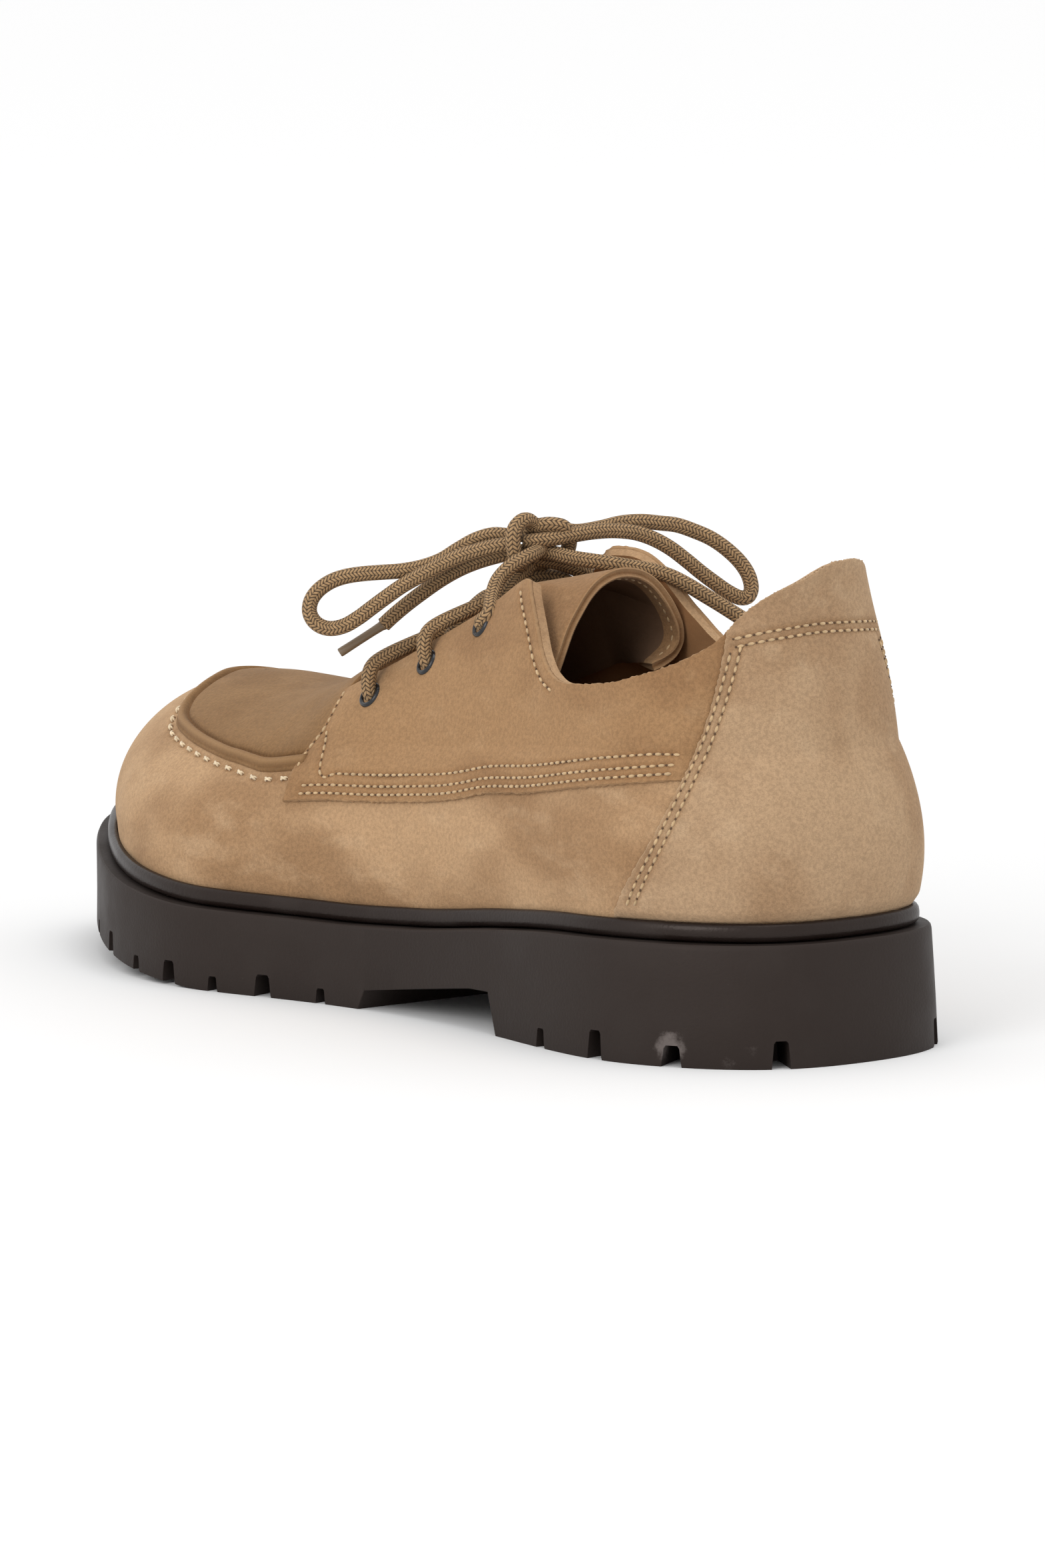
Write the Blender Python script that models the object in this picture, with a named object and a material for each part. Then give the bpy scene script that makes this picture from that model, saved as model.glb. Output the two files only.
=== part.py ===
"""The left shoe of a pair: a low suede derby with a moccasin toe on a lugged rubber sole.

Metres. +Y is the toe, +X the inner side of the foot, +Z up, and the sole rests on z = 0.
The upper, its overlays, the welt, the insole and the tongue all come from one last surface.
"""
import bmesh
import bpy
import numpy as np
from math import pi

for old in list(bpy.data.objects):
    bpy.data.objects.remove(old, do_unlink=True)

# Driving sizes
SOLE_LENGTH = 0.276
BALL_WIDTH = 0.107
HEEL_HEIGHT = 0.0283
TOE_SPRING = 0.0115
ANKLE_HEIGHT = 0.150
FEATHER_INSET = 0.0065
SIDE_BULGE = 0.0038
BULGE_HEIGHT = 0.042
HEEL_FLARE = 0.0008

# Thicknesses and clearances
WALL = 0.0020
OVERLAY = 0.0012
OVERLAY_GAP = 0.0007
TONGUE = 0.0025
INSOLE = 0.0040
WELT_HEIGHT = 0.0043
WELT_INSET = 0.0030
JOIN_GAP = 0.0003
TONGUE_GAP = 0.0010

# Tread
ARCH_DEPTH = 0.0100
ARCH_FRONT_DEPTH = 0.0047
NOTCH_DEPTH = 0.0050
NOTCH_REACH = 0.0110
CHANNEL_DEPTH = 0.0040
CHANNEL_WIDTH = 0.0044
NOTCH_OUT = 0.0040
CUT_DEPTH = 0.0100

# Laces and eyelets
LACE_RADIUS = 0.00205
KNOT_RADIUS = 0.0030
EYELET_RADIUS = 0.0034
EYELET_HOLE = 0.0022
EYELET_HEIGHT = 0.0009
TIP_LENGTH = 0.0125
TIP_RADIUS = 0.0017

SOLE_OUTLINE = (
    # along / SOLE_LENGTH, outer side / BALL_WIDTH, inner side / BALL_WIDTH
    (0.000, 0.030, 0.030),
    (0.010, -0.145, 0.205),
    (0.040, -0.257, 0.320),
    (0.080, -0.333, 0.363),
    (0.140, -0.390, 0.376),
    (0.280, -0.380, 0.338),
    (0.420, -0.374, 0.329),
    (0.550, -0.432, 0.386),
    (0.680, -0.523, 0.467),
    (0.800, -0.472, 0.474),
    (0.910, -0.310, 0.385),
    (0.960, -0.203, 0.275),
    (0.990, -0.103, 0.155),
    (1.000, 0.026, 0.026),
)
SOLE_TOP = (
    # along / SOLE_LENGTH, height / HEEL_HEIGHT
    (0.00, 1.000), (0.10, 0.996), (0.20, 0.965), (0.30, 0.876), (0.42, 0.742), (0.52, 0.693),
    (0.65, 0.700), (0.75, 0.763), (0.85, 0.876), (0.93, 0.989), (1.00, 1.071),
)
TOE_RISE = (
    # along / SOLE_LENGTH, height / TOE_SPRING
    (0.65, 0.0), (0.70, 0.09), (0.75, 0.19), (0.80, 0.31), (0.85, 0.44), (0.90, 0.61), (0.95, 0.80),
    (1.04, 1.16),
)
CREST = (
    # along / SOLE_LENGTH, sideways / BALL_WIDTH, height / ANKLE_HEIGHT, roundness of the section
    (0.170, 0.000, 1.000, 2.00),
    (0.270, 0.005, 0.873, 2.10),
    (0.345, 0.009, 0.787, 2.20),
    (0.400, 0.012, 0.717, 2.20),
    (0.465, 0.015, 0.647, 2.20),
    (0.533, 0.019, 0.583, 2.20),
    (0.580, 0.021, 0.537, 2.15),
    (0.635, 0.024, 0.487, 2.00),
    (0.690, 0.028, 0.455, 2.00),
    (0.730, 0.032, 0.448, 2.00),
    (0.790, 0.036, 0.449, 2.00),
    (0.835, 0.037, 0.445, 2.00),
)
SPINE_REAR = 0.326
SPINE_FRONT = 0.616

# Edges on the last: a place round it (0 heel, 1 toe) and a share of the way from feather to crest
THROAT_FRONT = 0.575
TOPLINE_OUTER = (
    (0.000, 0.480), (0.015, 0.470), (0.052, 0.446), (0.080, 0.414), (0.090, 0.396), (0.105, 0.375),
    (0.138, 0.350), (0.165, 0.338), (0.200, 0.330), (0.245, 0.336), (0.268, 0.350), (0.283, 0.375),
    (0.297, 0.413), (0.310, 0.463), (0.335, 0.588), (0.346, 0.625), (0.385, 0.635), (0.465, 0.650),
    (0.530, 0.630), (0.575, 0.632),
)
TOPLINE_INNER = (
    (0.000, 0.480), (0.020, 0.489), (0.040, 0.490), (0.070, 0.482), (0.100, 0.450), (0.122, 0.408),
    (0.150, 0.372), (0.190, 0.348), (0.240, 0.345), (0.285, 0.362), (0.315, 0.402), (0.340, 0.465),
    (0.365, 0.575), (0.378, 0.622), (0.420, 0.635), (0.480, 0.645), (0.530, 0.630), (0.575, 0.632),
)
COUNTER_SEAM = (
    # share from feather to crest, place round the last
    (0.000, 0.182), (0.060, 0.165), (0.119, 0.147), (0.175, 0.132), (0.231, 0.118), (0.281, 0.107),
    (0.331, 0.098), (0.381, 0.091), (0.450, 0.088),
)
QUARTER_EDGE = (
    # place round the last, share from feather to crest
    (0.128, 0.196), (0.195, 0.188), (0.275, 0.181), (0.362, 0.188), (0.443, 0.213), (0.520, 0.244),
    (0.575, 0.270),
)
APRON_EDGE_OUTER = (
    (0.575, 0.360), (0.613, 0.400), (0.660, 0.463), (0.715, 0.506), (0.760, 0.525), (0.802, 0.544),
    (0.835, 0.585), (0.880, 0.680), (0.920, 0.755), (0.960, 0.797), (1.000, 0.812),
)
APRON_EDGE_INNER = (
    (0.575, 0.370), (0.613, 0.410), (0.660, 0.465), (0.715, 0.510), (0.760, 0.545), (0.802, 0.580),
    (0.835, 0.620), (0.880, 0.705), (0.920, 0.765), (0.960, 0.800), (1.000, 0.812),
)
EYELETS_OUTER = ((0.525, 0.531), (0.466, 0.562), (0.403, 0.581))
EYELETS_INNER = ((0.527, 0.533), (0.472, 0.560), (0.415, 0.578))
TONGUE_TOP = (
    # along / SOLE_LENGTH, height / ANKLE_HEIGHT
    (0.22, 0.705), (0.27, 0.720), (0.33, 0.700), (0.38, 0.674), (0.43, 0.664), (0.70, 0.664),
)
TONGUE_SIDE = ((0.25, 0.345), (0.32, 0.420), (0.45, 0.480), (0.62, 0.560))
TONGUE_END = ((-1.0, 0.262), (0.0, 0.272), (1.0, 0.300))
TONGUE_ROOT = 0.635

# Notches in the side of the tread: along / SOLE_LENGTH, width / SOLE_LENGTH, depth / NOTCH_DEPTH
HEEL_NOTCHES = ((0.220, 0.009, 0.68), (0.143, 0.013, 1.04), (0.074, 0.014, 0.74))
FORE_NOTCHES = (
    (0.521, 0.009, 0.60), (0.581, 0.016, 0.90), (0.633, 0.009, 0.60), (0.684, 0.014, 0.90),
    (0.737, 0.010, 0.60),
    (0.800, 0.014, 0.90), (0.860, 0.010, 0.60),
)
BACK_NOTCHES = ((-0.185, 0.013), (0.235, 0.013))
ARCH = ((0.290, 0.0), (0.302, 1.0), (0.470, 0.47), (0.478, 0.0))

# The bow, points chosen by hand: metres along x, y, z from under the heel tip
LOOP_OUTER = (
    (-0.0017, 0.1176, 0.1125), (-0.0042, 0.1197, 0.1124), (-0.0104, 0.1258, 0.1112),
    (-0.0165, 0.1312, 0.1080), (-0.0215, 0.1355, 0.1042),
    (-0.0292, 0.1418, 0.1030), (-0.0360, 0.1472, 0.1022), (-0.0406, 0.1507, 0.0992),
    (-0.0426, 0.1518, 0.0952),
    (-0.0417, 0.1506, 0.0906), (-0.0388, 0.1476, 0.0881), (-0.0346, 0.1432, 0.0896),
    (-0.0300, 0.1390, 0.0936),
    (-0.0246, 0.1340, 0.0984), (-0.0192, 0.1284, 0.1038), (-0.0142, 0.1226, 0.1084),
    (-0.0092, 0.1171, 0.1116), (-0.0073, 0.1154, 0.1122), (-0.0050, 0.1136, 0.1124),
)
LOOP_INNER = (
    (0.0022, 0.1144, 0.1125), (0.0045, 0.1125, 0.1126), (0.0112, 0.1109, 0.1130),
    (0.0195, 0.1096, 0.1142), (0.0270, 0.1067, 0.1150),
    (0.0364, 0.1030, 0.1132), (0.0438, 0.0990, 0.1093), (0.0478, 0.0966, 0.1040), (0.0482, 0.0956, 0.0990),
    (0.0455, 0.0960, 0.0960), (0.0370, 0.0992, 0.1020), (0.0290, 0.1018, 0.1068), (0.0208, 0.1042, 0.1105),
    (0.0120, 0.1052, 0.1122), (0.0050, 0.1066, 0.1127), (0.0015, 0.1083, 0.1127), (-0.0011, 0.1104, 0.1126),
)
END_OUTER = (
    (-0.0033, 0.1156, 0.1078), (-0.0058, 0.1178, 0.1078), (-0.0093, 0.1248, 0.1064),
    (-0.0125, 0.1315, 0.1022), (-0.0163, 0.1368, 0.0973),
    (-0.0200, 0.1410, 0.0936), (-0.0238, 0.1450, 0.0900),
)
END_INNER = (
    (0.0005, 0.1124, 0.1078), (0.0029, 0.1105, 0.1080), (0.0105, 0.1056, 0.1070),
    (0.0183, 0.1006, 0.1046), (0.0262, 0.0948, 0.1010),
    (0.0339, 0.0882, 0.0950), (0.0385, 0.0840, 0.0895), (0.0412, 0.0812, 0.0840),
)
KNOT_CENTRE = (-0.0014, 0.1140, 0.1108)
BOW_AXIS = (0.772, -0.636, 0.0)

SUEDE = (0.47, 0.33, 0.215)
RUBBER = (0.030, 0.024, 0.021)
LINING = (0.13, 0.085, 0.06)
LACE = (0.17, 0.125, 0.075)
BLACK = (0.015, 0.015, 0.016)


def spline(values, steps):
    """Closed smooth curve through the values, with more steps than points."""
    knots = np.r_[0, np.cumsum(np.linalg.norm(np.diff(values, axis=0), axis=1) ** 0.75)]
    count = len(knots)
    width = np.diff(knots)
    slope = np.diff(values, axis=0) / width[:, None]
    matrix = np.zeros((count, count))
    right = np.zeros((count, 2))
    for i in range(1, count - 1):
        matrix[i, i - 1:i + 2] = width[i - 1], 2 * (width[i - 1] + width[i]), width[i]
        right[i] = 6 * (slope[i] - slope[i - 1])
    matrix[0, 0], matrix[0, -1] = 1, -1
    matrix[-1, 0], matrix[-1, 1] = 2 * width[0], width[0]
    matrix[-1, -2], matrix[-1, -1] = width[-1], 2 * width[-1]
    right[-1] = 6 * (slope[0] - slope[-1])
    bend = np.linalg.solve(matrix, right)
    at = np.linspace(0, knots[-1], steps + 1)
    i = np.clip(np.searchsorted(knots, at, side="right") - 1, 0, count - 2)
    span = width[i][:, None]
    ahead = (at - knots[i])[:, None]
    behind = span - ahead
    curve = (bend[i] * behind ** 3 + bend[i + 1] * ahead ** 3) / (6 * span)
    curve += (values[i] / span - bend[i] * span / 6) * behind
    curve += (values[i + 1] / span - bend[i + 1] * span / 6) * ahead
    return curve


def table(rows, x, column=1):
    """Smooth reading of a table that never overshoots its rows."""
    xs = np.array([row[0] for row in rows], float)
    ys = np.array([row[column] for row in rows], float)
    width = np.diff(xs)
    slope = np.diff(ys) / width
    tangent = np.zeros(len(xs))
    tangent[0], tangent[-1] = slope[0], slope[-1]
    for i in range(1, len(xs) - 1):
        if slope[i - 1] * slope[i] > 0:
            a, b = 2 * width[i] + width[i - 1], width[i] + 2 * width[i - 1]
            tangent[i] = (a + b) / (a / slope[i - 1] + b / slope[i])
    x = np.clip(np.asarray(x, float), xs[0], xs[-1])
    i = np.clip(np.searchsorted(xs, x, side="right") - 1, 0, len(xs) - 2)
    t = (x - xs[i]) / width[i]
    value = ys[i] * (1 + 2 * t) * (1 - t) ** 2 + ys[i + 1] * t * t * (3 - 2 * t)
    return value + width[i] * t * (1 - t) * (tangent[i] * (1 - t) - tangent[i + 1] * t)


# The sole's edge, from the heel tip along the outer side to the toe and back along the inner side
corners = [(row[1] * BALL_WIDTH, row[0] * SOLE_LENGTH) for row in SOLE_OUTLINE]
corners += [(row[2] * BALL_WIDTH, row[0] * SOLE_LENGTH) for row in SOLE_OUTLINE[-2::-1]]
edge = spline(np.array(corners), 1440)[:-1]
edge = np.roll(edge, -edge[:, 1].argmin(), axis=0)
along = np.roll(edge, -1, axis=0) - np.roll(edge, 1, axis=0)
inward = np.stack([along[:, 1], -along[:, 0]], axis=1) / np.linalg.norm(along, axis=1)[:, None]
feather = edge + inward * FEATHER_INSET
toe_index = feather[:, 1].argmax()
ORIGIN = np.array([(edge[:, 0].max() + edge[:, 0].min()) / 2, (edge[:, 1].max() + edge[:, 1].min()) / 2, 0.0])


def arc_shares(line):
    length = np.r_[0, np.cumsum(np.linalg.norm(np.diff(line, axis=0), axis=1))]
    return length / length[-1]


outer_ids = np.arange(0, toe_index + 1)
inner_ids = np.arange(len(feather), toe_index - 1, -1) % len(feather)
outer_arc = arc_shares(feather[outer_ids])
inner_arc = arc_shares(feather[inner_ids])


def edge_point(w, inset):
    """Point at a place round the shoe (0 heel, 1 toe, 2 heel again), inset from the sole's edge."""
    w = np.mod(np.asarray(w, float), 2.0)
    share = np.where(w <= 1, w, 2 - w)
    out = []
    for axis in (0, 1):
        outer = np.interp(share, outer_arc, edge[outer_ids, axis])
        inner = np.interp(share, inner_arc, edge[inner_ids, axis])
        outer = outer + np.interp(share, outer_arc, inward[outer_ids, axis]) * inset
        inner = inner + np.interp(share, inner_arc, inward[inner_ids, axis]) * inset
        out.append(np.where(w <= 1, outer, inner))
    out.append((outer + inner) / 2)
    return out


def sole_top(y):
    return table(SOLE_TOP, y / SOLE_LENGTH) * HEEL_HEIGHT


def section(w):
    """Foot of a section of the last, its crest point and its roundness."""
    x, y, middle = edge_point(w, FEATHER_INSET)
    front, rear = SPINE_FRONT * SOLE_LENGTH, SPINE_REAR * SOLE_LENGTH
    toe, heel = feather[:, 1].max(), feather[:, 1].min()
    ahead = np.clip((middle - front) / (toe - front), 0, 1)
    behind = np.clip((rear - middle) / (rear - heel), 0, 1)
    crest_y = np.where(middle > front, front + (toe - front) * (ahead - 0.4 * ahead ** 2), middle)
    crest_y = np.where(middle < rear, rear - (rear - heel) * (behind - 0.5 * behind ** 2), crest_y)
    share = crest_y / SOLE_LENGTH
    crest = table(CREST, share, 1) * BALL_WIDTH, crest_y, table(CREST, share, 2) * ANKLE_HEIGHT
    return x, y, sole_top(y) + JOIN_GAP, crest, table(CREST, share, 3)


def last(w, v):
    """Outer face of the upper: w round the shoe, v from the feather line (0) to the crest (1)."""
    w, v = np.broadcast_arrays(np.asarray(w, float), np.asarray(v, float))
    x, y, foot, (crest_x, crest_y, crest_z), power = section(w)
    reach = np.cos(v * pi / 2).clip(0) ** (2 / power)
    rise = np.sin(v * pi / 2) ** (2 / power)
    z = foot + (crest_z - foot) * rise
    side = np.stack([x - crest_x, y - crest_y], axis=-1)
    out = side / np.maximum(np.linalg.norm(side, axis=-1, keepdims=True), 1e-9)
    up = np.clip((z - foot) / BULGE_HEIGHT, 0, 1)
    bulge = SIDE_BULGE * 4 * up * (1 - up)
    plan = np.stack([crest_x, crest_y], axis=-1) + side * reach[..., None] + out * bulge[..., None]
    return np.concatenate([plan, z[..., None]], axis=-1)


def shell(w, v, lift):
    """Point off the last by a distance along its outward normal."""
    w, v = np.broadcast_arrays(np.asarray(w, float), np.asarray(v, float))
    step = 0.002
    mirrored = (2 - w) % 2.0
    top = v > 1 - step
    across = last(w + step, v) - last(w - step, v)
    over_crest = last(mirrored, 1 - step) - last(w, 1 - step)
    up = last(w, np.minimum(v + step, 1)) - last(w, np.maximum(v - step, 0))
    up = np.where(top[..., None], over_crest, up)
    normal = np.cross(up, across)
    flat = np.linalg.norm(normal, axis=-1, keepdims=True)
    normal = np.where(flat > 1e-12, normal / np.maximum(flat, 1e-12), [0, 0, 1])
    normal = np.where(top[..., None] & (normal[..., 2:] < 0), -normal, normal)
    return last(w, v) + normal * lift


def share_at_height(w, height):
    """Share from feather to crest at a height over the sole's top."""
    _, y, foot, crest, power = section(w)
    rise = np.clip((sole_top(y) + height - foot) / (crest[2] - foot), 0, 1)
    return np.arcsin(rise ** (power / 2)) * 2 / pi


def toe_rise(share):
    """Height of the tread at a share of the sole's length."""
    return float(table(TOE_RISE, share)) * TOE_SPRING


def side_share(w):
    return np.where(np.mod(w, 2) <= 1, np.mod(w, 2), 2 - np.mod(w, 2))


def by_side(w, outer_rows, inner_rows):
    share = side_share(w)
    return np.where(np.mod(w, 2) <= 1, table(outer_rows, share), table(inner_rows, share))


def topline(w):
    return np.where(side_share(w) >= THROAT_FRONT, 1.0, by_side(w, TOPLINE_OUTER, TOPLINE_INNER))


def material(name, color, roughness, metallic=0.0):
    made = bpy.data.materials.new(name)
    made.use_nodes = True
    shader = made.node_tree.nodes["Principled BSDF"]
    shader.inputs["Base Color"].default_value = (*color, 1)
    shader.inputs["Roughness"].default_value = roughness
    shader.inputs["Metallic"].default_value = metallic
    return made


def solid(name, points, faces, finish, tool=False):
    """A closed mesh object with its faces turned out; a tool is a hidden cutter."""
    mesh = bpy.data.meshes.new(name)
    mesh.from_pydata([tuple(np.asarray(p) - ORIGIN) for p in points], [], faces)
    body = bmesh.new()
    body.from_mesh(mesh)
    bmesh.ops.triangulate(body, faces=body.faces)
    bmesh.ops.recalc_face_normals(body, faces=body.faces)
    body.to_mesh(mesh)
    body.free()
    made = bpy.data.objects.new(name, mesh)
    bpy.context.scene.collection.objects.link(made)
    if tool:
        made.hide_render = True
        made.display_type = "WIRE"
    else:
        made.data.materials.append(material(name + "_finish", *finish))
    return made


def combine(target, tool, operation):
    step = target.modifiers.new(tool.name, "BOOLEAN")
    step.operation = operation
    step.solver = "EXACT"
    step.object = tool


def thick(name, outer, inner, faces, finish):
    """A sheet with a thickness: outer and inner points, and rims where the outer faces end."""
    count = len(outer)
    used = {}
    for face in faces:
        for a, b in zip(face, face[1:] + face[:1]):
            used[(a, b)] = True
    rims = [(b, a, a + count, b + count) for a, b in used if (b, a) not in used]
    back = [tuple(i + count for i in reversed(face)) for face in faces]
    return solid(name, list(outer) + list(inner), list(faces) + back + rims, finish)


def skin(name, places, low, high, rows, lifts, finish, closed=False):
    """Part of the last as a sheet. Columns past the throat go on and meet their mirror on the crest."""
    columns = []
    shared = {}
    outer = []
    inner = []
    for w, a, b in zip(places, low, high):
        crosses = closed and side_share(w) >= THROAT_FRONT
        throat = float(by_side(w, TOPLINE_OUTER, TOPLINE_INNER)) if crosses else b
        levels = list(np.linspace(a, throat, rows[0] + 1))
        if crosses:
            levels += list(np.linspace(throat, 1, rows[1] + 1))[1:]
        key = round(float(side_share(w)), 6)
        column = []
        for v in levels:
            if v > 0.9999 and key in shared:
                column.append(shared[key])
                continue
            column.append(len(outer))
            outer.append(shell(w, v, lifts[1]))
            inner.append(shell(w, v, lifts[0]))
            if v > 0.9999:
                shared[key] = column[-1]
        columns.append(column)
    pairs = list(zip(columns, columns[1:] + columns[:1])) if closed else list(zip(columns, columns[1:]))
    faces = [(a[j], b[j], b[j + 1], a[j + 1]) for a, b in pairs for j in range(min(len(a), len(b)) - 1)]
    return thick(name, outer, inner, faces, finish)


half = np.linspace(0, 1, 37)
half = 0.45 * half + 0.55 * (0.5 - 0.5 * np.cos(half * pi))
half[np.abs(half - THROAT_FRONT).argmin()] = THROAT_FRONT
around = np.r_[half, 2 - half[-2:0:-1]]

# Outsole: the slab, then the arch, the toe spring and the tread cut from below
count = len(around)
flare = HEEL_FLARE * np.clip(1 - edge_point(around, 0)[1] / (0.3 * SOLE_LENGTH), 0, 1)
top_x, top_y, _ = edge_point(around, 0)
low_x, low_y, _ = edge_point(around, -flare)
top_ring = [(a, b, sole_top(b)) for a, b in zip(top_x, top_y)]
low_ring = [(a, b, 0.0) for a, b in zip(low_x, low_y)]
walls = [(i, (i + 1) % count, (i + 1) % count + count, i + count) for i in range(count)]


def cap(offset, flip):
    """Faces across the sole between its two sides."""
    last_half = len(half) - 1
    faces = [(offset, offset + 1, offset + count - 1)]
    for i in range(1, last_half - 1):
        faces.append((offset + i, offset + i + 1, offset + count - i - 1, offset + count - i))
    faces.append((offset + last_half - 1, offset + last_half, offset + last_half + 1))
    return [tuple(reversed(face)) for face in faces] if flip else faces


outsole = solid("outsole", top_ring + low_ring, walls + cap(0, False) + cap(count, True), (RUBBER, 0.62))


def prism(name, profile, half_width):
    """A bar across the shoe with its profile in y and z."""
    count = len(profile)
    points = [(side * half_width, y, z) for side in (-1, 1) for y, z in profile]
    sides = [(i, (i + 1) % count, (i + 1) % count + count, i + count) for i in range(count)]
    ends = [tuple(range(count)), tuple(range(2 * count - 1, count - 1, -1))]
    return solid(name, points, sides + ends, None, tool=True)


def below(rows, scale):
    """Profile of what is cut away under a table of heights."""
    line = [(a * SOLE_LENGTH, b * scale) for a, b in rows]
    return [(line[0][0], -CUT_DEPTH)] + line + [(line[-1][0], -CUT_DEPTH)]


arch_rows = [(a, b) for a, b in ARCH]
arch_rows[2] = (ARCH[2][0], ARCH_FRONT_DEPTH / ARCH_DEPTH)
combine(outsole, prism("arch_cut", below(arch_rows, ARCH_DEPTH), BALL_WIDTH), "DIFFERENCE")
combine(outsole, prism("toe_cut", below(TOE_RISE, TOE_SPRING), BALL_WIDTH), "DIFFERENCE")


def box(points, faces, centre, across, forward, size):
    """A box below the tread, added to a list of points and faces."""
    first = len(points)
    for sx in (-1, 1):
        for sy in (-1, 1):
            for z in size[2:]:
                place = np.array(centre) + np.array(across) * sx * size[0] + np.array(forward) * sy * size[1]
                points.append((place[0], place[1], z))
    faces += [tuple(first + k for k in quad) for quad in
              ((0, 1, 3, 2), (4, 6, 7, 5), (0, 4, 5, 1), (2, 3, 7, 6), (0, 2, 6, 4), (1, 5, 7, 3))]


notch_points = []
notch_faces = []


def notch(k, width, top):
    """One notch from the side at a point of the edge."""
    box(notch_points, notch_faces, edge[k] + inward[k] * (NOTCH_REACH / 2 - NOTCH_OUT), inward[k],
        (-inward[k, 1], inward[k, 0]), (NOTCH_REACH / 2 + NOTCH_OUT, width * SOLE_LENGTH / 2, -CUT_DEPTH, top))


for share, width, depth in HEEL_NOTCHES + FORE_NOTCHES:
    for ids in (outer_ids, inner_ids):
        k = ids[np.abs(edge[ids, 1] - share * SOLE_LENGTH).argmin()]
        notch(k, width, toe_rise(share) + depth * NOTCH_DEPTH)
for share, width in BACK_NOTCHES:
    heel_ids = np.where(edge[:, 1] < 0.08 * SOLE_LENGTH)[0]
    k = heel_ids[np.abs(edge[heel_ids, 0] - share * BALL_WIDTH).argmin()]
    notch(k, width, NOTCH_DEPTH)
combine(outsole, solid("notch_cut", notch_points, notch_faces, None, tool=True), "DIFFERENCE")

# Channels across the middle of the tread
channel_points = []
channel_faces = []
for share in (0.553, 0.607, 0.659, 0.711, 0.768):
    box(channel_points, channel_faces, (0.0, share * SOLE_LENGTH), (1, 0), (0, 1),
        (0.25 * BALL_WIDTH, CHANNEL_WIDTH / 2, -CUT_DEPTH, toe_rise(share) + CHANNEL_DEPTH))
for share in (0.110, 0.190):
    box(channel_points, channel_faces, (0.0, share * SOLE_LENGTH), (1, 0), (0, 1),
        (0.18 * BALL_WIDTH, CHANNEL_WIDTH / 2, -CUT_DEPTH, CHANNEL_DEPTH))
combine(outsole, solid("channel_cut", channel_points, channel_faces, None, tool=True), "DIFFERENCE")

# Welt: a ring round the foot of the upper, its outer corner rounded
welt_rows = ((WELT_INSET, 0.0), (WELT_INSET, 0.45), (WELT_INSET + 0.0003, 0.75), (WELT_INSET + 0.0010, 1.0))
welt_points = []
for w in around:
    ring = []
    for inset, share in welt_rows:
        x, y, _ = edge_point(w, inset)
        ring.append((float(x), float(y), float(sole_top(y)) + JOIN_GAP + share * WELT_HEIGHT))
    for share in (1.0, 0.0):
        height = JOIN_GAP + share * WELT_HEIGHT
        point = shell(w, share_at_height(w, height), JOIN_GAP + 0.00005)
        ring.append((point[0], point[1], float(sole_top(point[1])) + height))
    welt_points += ring
size = len(welt_rows) + 2
welt_faces = [(i * size + j, (i + 1) % count * size + j, (i + 1) % count * size + (j + 1) % size, i * size + (j + 1) % size)
              for i in range(count) for j in range(size)]
solid("welt", welt_points, welt_faces, (RUBBER, 0.38))

# Insole: a plate inside the upper's foot
inside_x, inside_y, _ = edge_point(around, FEATHER_INSET + WALL + 0.0005)
insole_points = [(a, b, sole_top(b) + JOIN_GAP + INSOLE) for a, b in zip(inside_x, inside_y)]
insole_points += [(a, b, sole_top(b) + JOIN_GAP) for a, b in zip(inside_x, inside_y)]
solid("insole", insole_points, walls + cap(0, False) + cap(count, True), (LINING, 0.8))

# Upper: one wall from the feather line to the topline and the throat, zipped along the crest of the vamp
suede = (SUEDE, 0.92)
skin("upper", around, np.zeros(count), topline(around), (8, 4), (-WALL, 0.0), suede, closed=True)

# Overlays, each a sheet just off the upper
lifts = (OVERLAY_GAP, OVERLAY_GAP + OVERLAY)
over_welt = WELT_HEIGHT + 2 * JOIN_GAP + 0.0004
ahead = half[half > THROAT_FRONT + 0.002]
ahead = np.r_[THROAT_FRONT + 0.002, ahead]
toe_around = np.r_[ahead, 2 - ahead[-2::-1]]
apron_edge = by_side(toe_around, APRON_EDGE_OUTER, APRON_EDGE_INNER)
skin("apron", toe_around, apron_edge, np.ones(len(toe_around)), (7,), lifts, suede)


def patch(name, columns, rows, place, finish):
    """A sheet on the last from a function of two shares that gives a place and a height."""
    outer = []
    inner = []
    for i in range(columns + 1):
        for j in range(rows + 1):
            w, v = place(i / columns, j / rows)
            outer.append(shell(w, v, lifts[1]))
            inner.append(shell(w, v, lifts[0]))
    step = rows + 1
    faces = [(i * step + j, (i + 1) * step + j, (i + 1) * step + j + 1, i * step + j + 1)
             for i in range(columns) for j in range(rows)]
    return thick(name, outer, inner, faces, finish)


def counter_place(a, b):
    """Round the heel between the two seams, up to the tab."""
    side = 2 * a - 1
    seam_top = float(table(COUNTER_SEAM, 0.385))
    top = float(topline(side * seam_top))
    v = top * b
    w = side * float(table(COUNTER_SEAM, v))
    low = float(share_at_height(w, over_welt))
    return w, max(low, 0) + (float(topline(w)) - low) * b


def quarter_place(side):
    seam_gap = (JOIN_GAP + 0.0002) / (0.5 * np.pi * SOLE_LENGTH)

    def place(a, b):
        front = THROAT_FRONT - 0.002
        rear_low, rear_top = 0.196, 0.400
        rear = float(table(COUNTER_SEAM, rear_low + (rear_top - rear_low) * b)) + 3 * seam_gap
        w = rear + (front - rear) * a
        low = float(table(QUARTER_EDGE, w))
        top = float(topline(w if side > 0 else 2 - w))
        v = low + (top - low) * b
        return (w if side > 0 else 2 - w), v
    return place


patch("counter", 22, 7, counter_place, suede)
patch("quarter_lateral", 22, 7, quarter_place(1), suede)
patch("quarter_medial", 22, 7, quarter_place(-1), suede)

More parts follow.
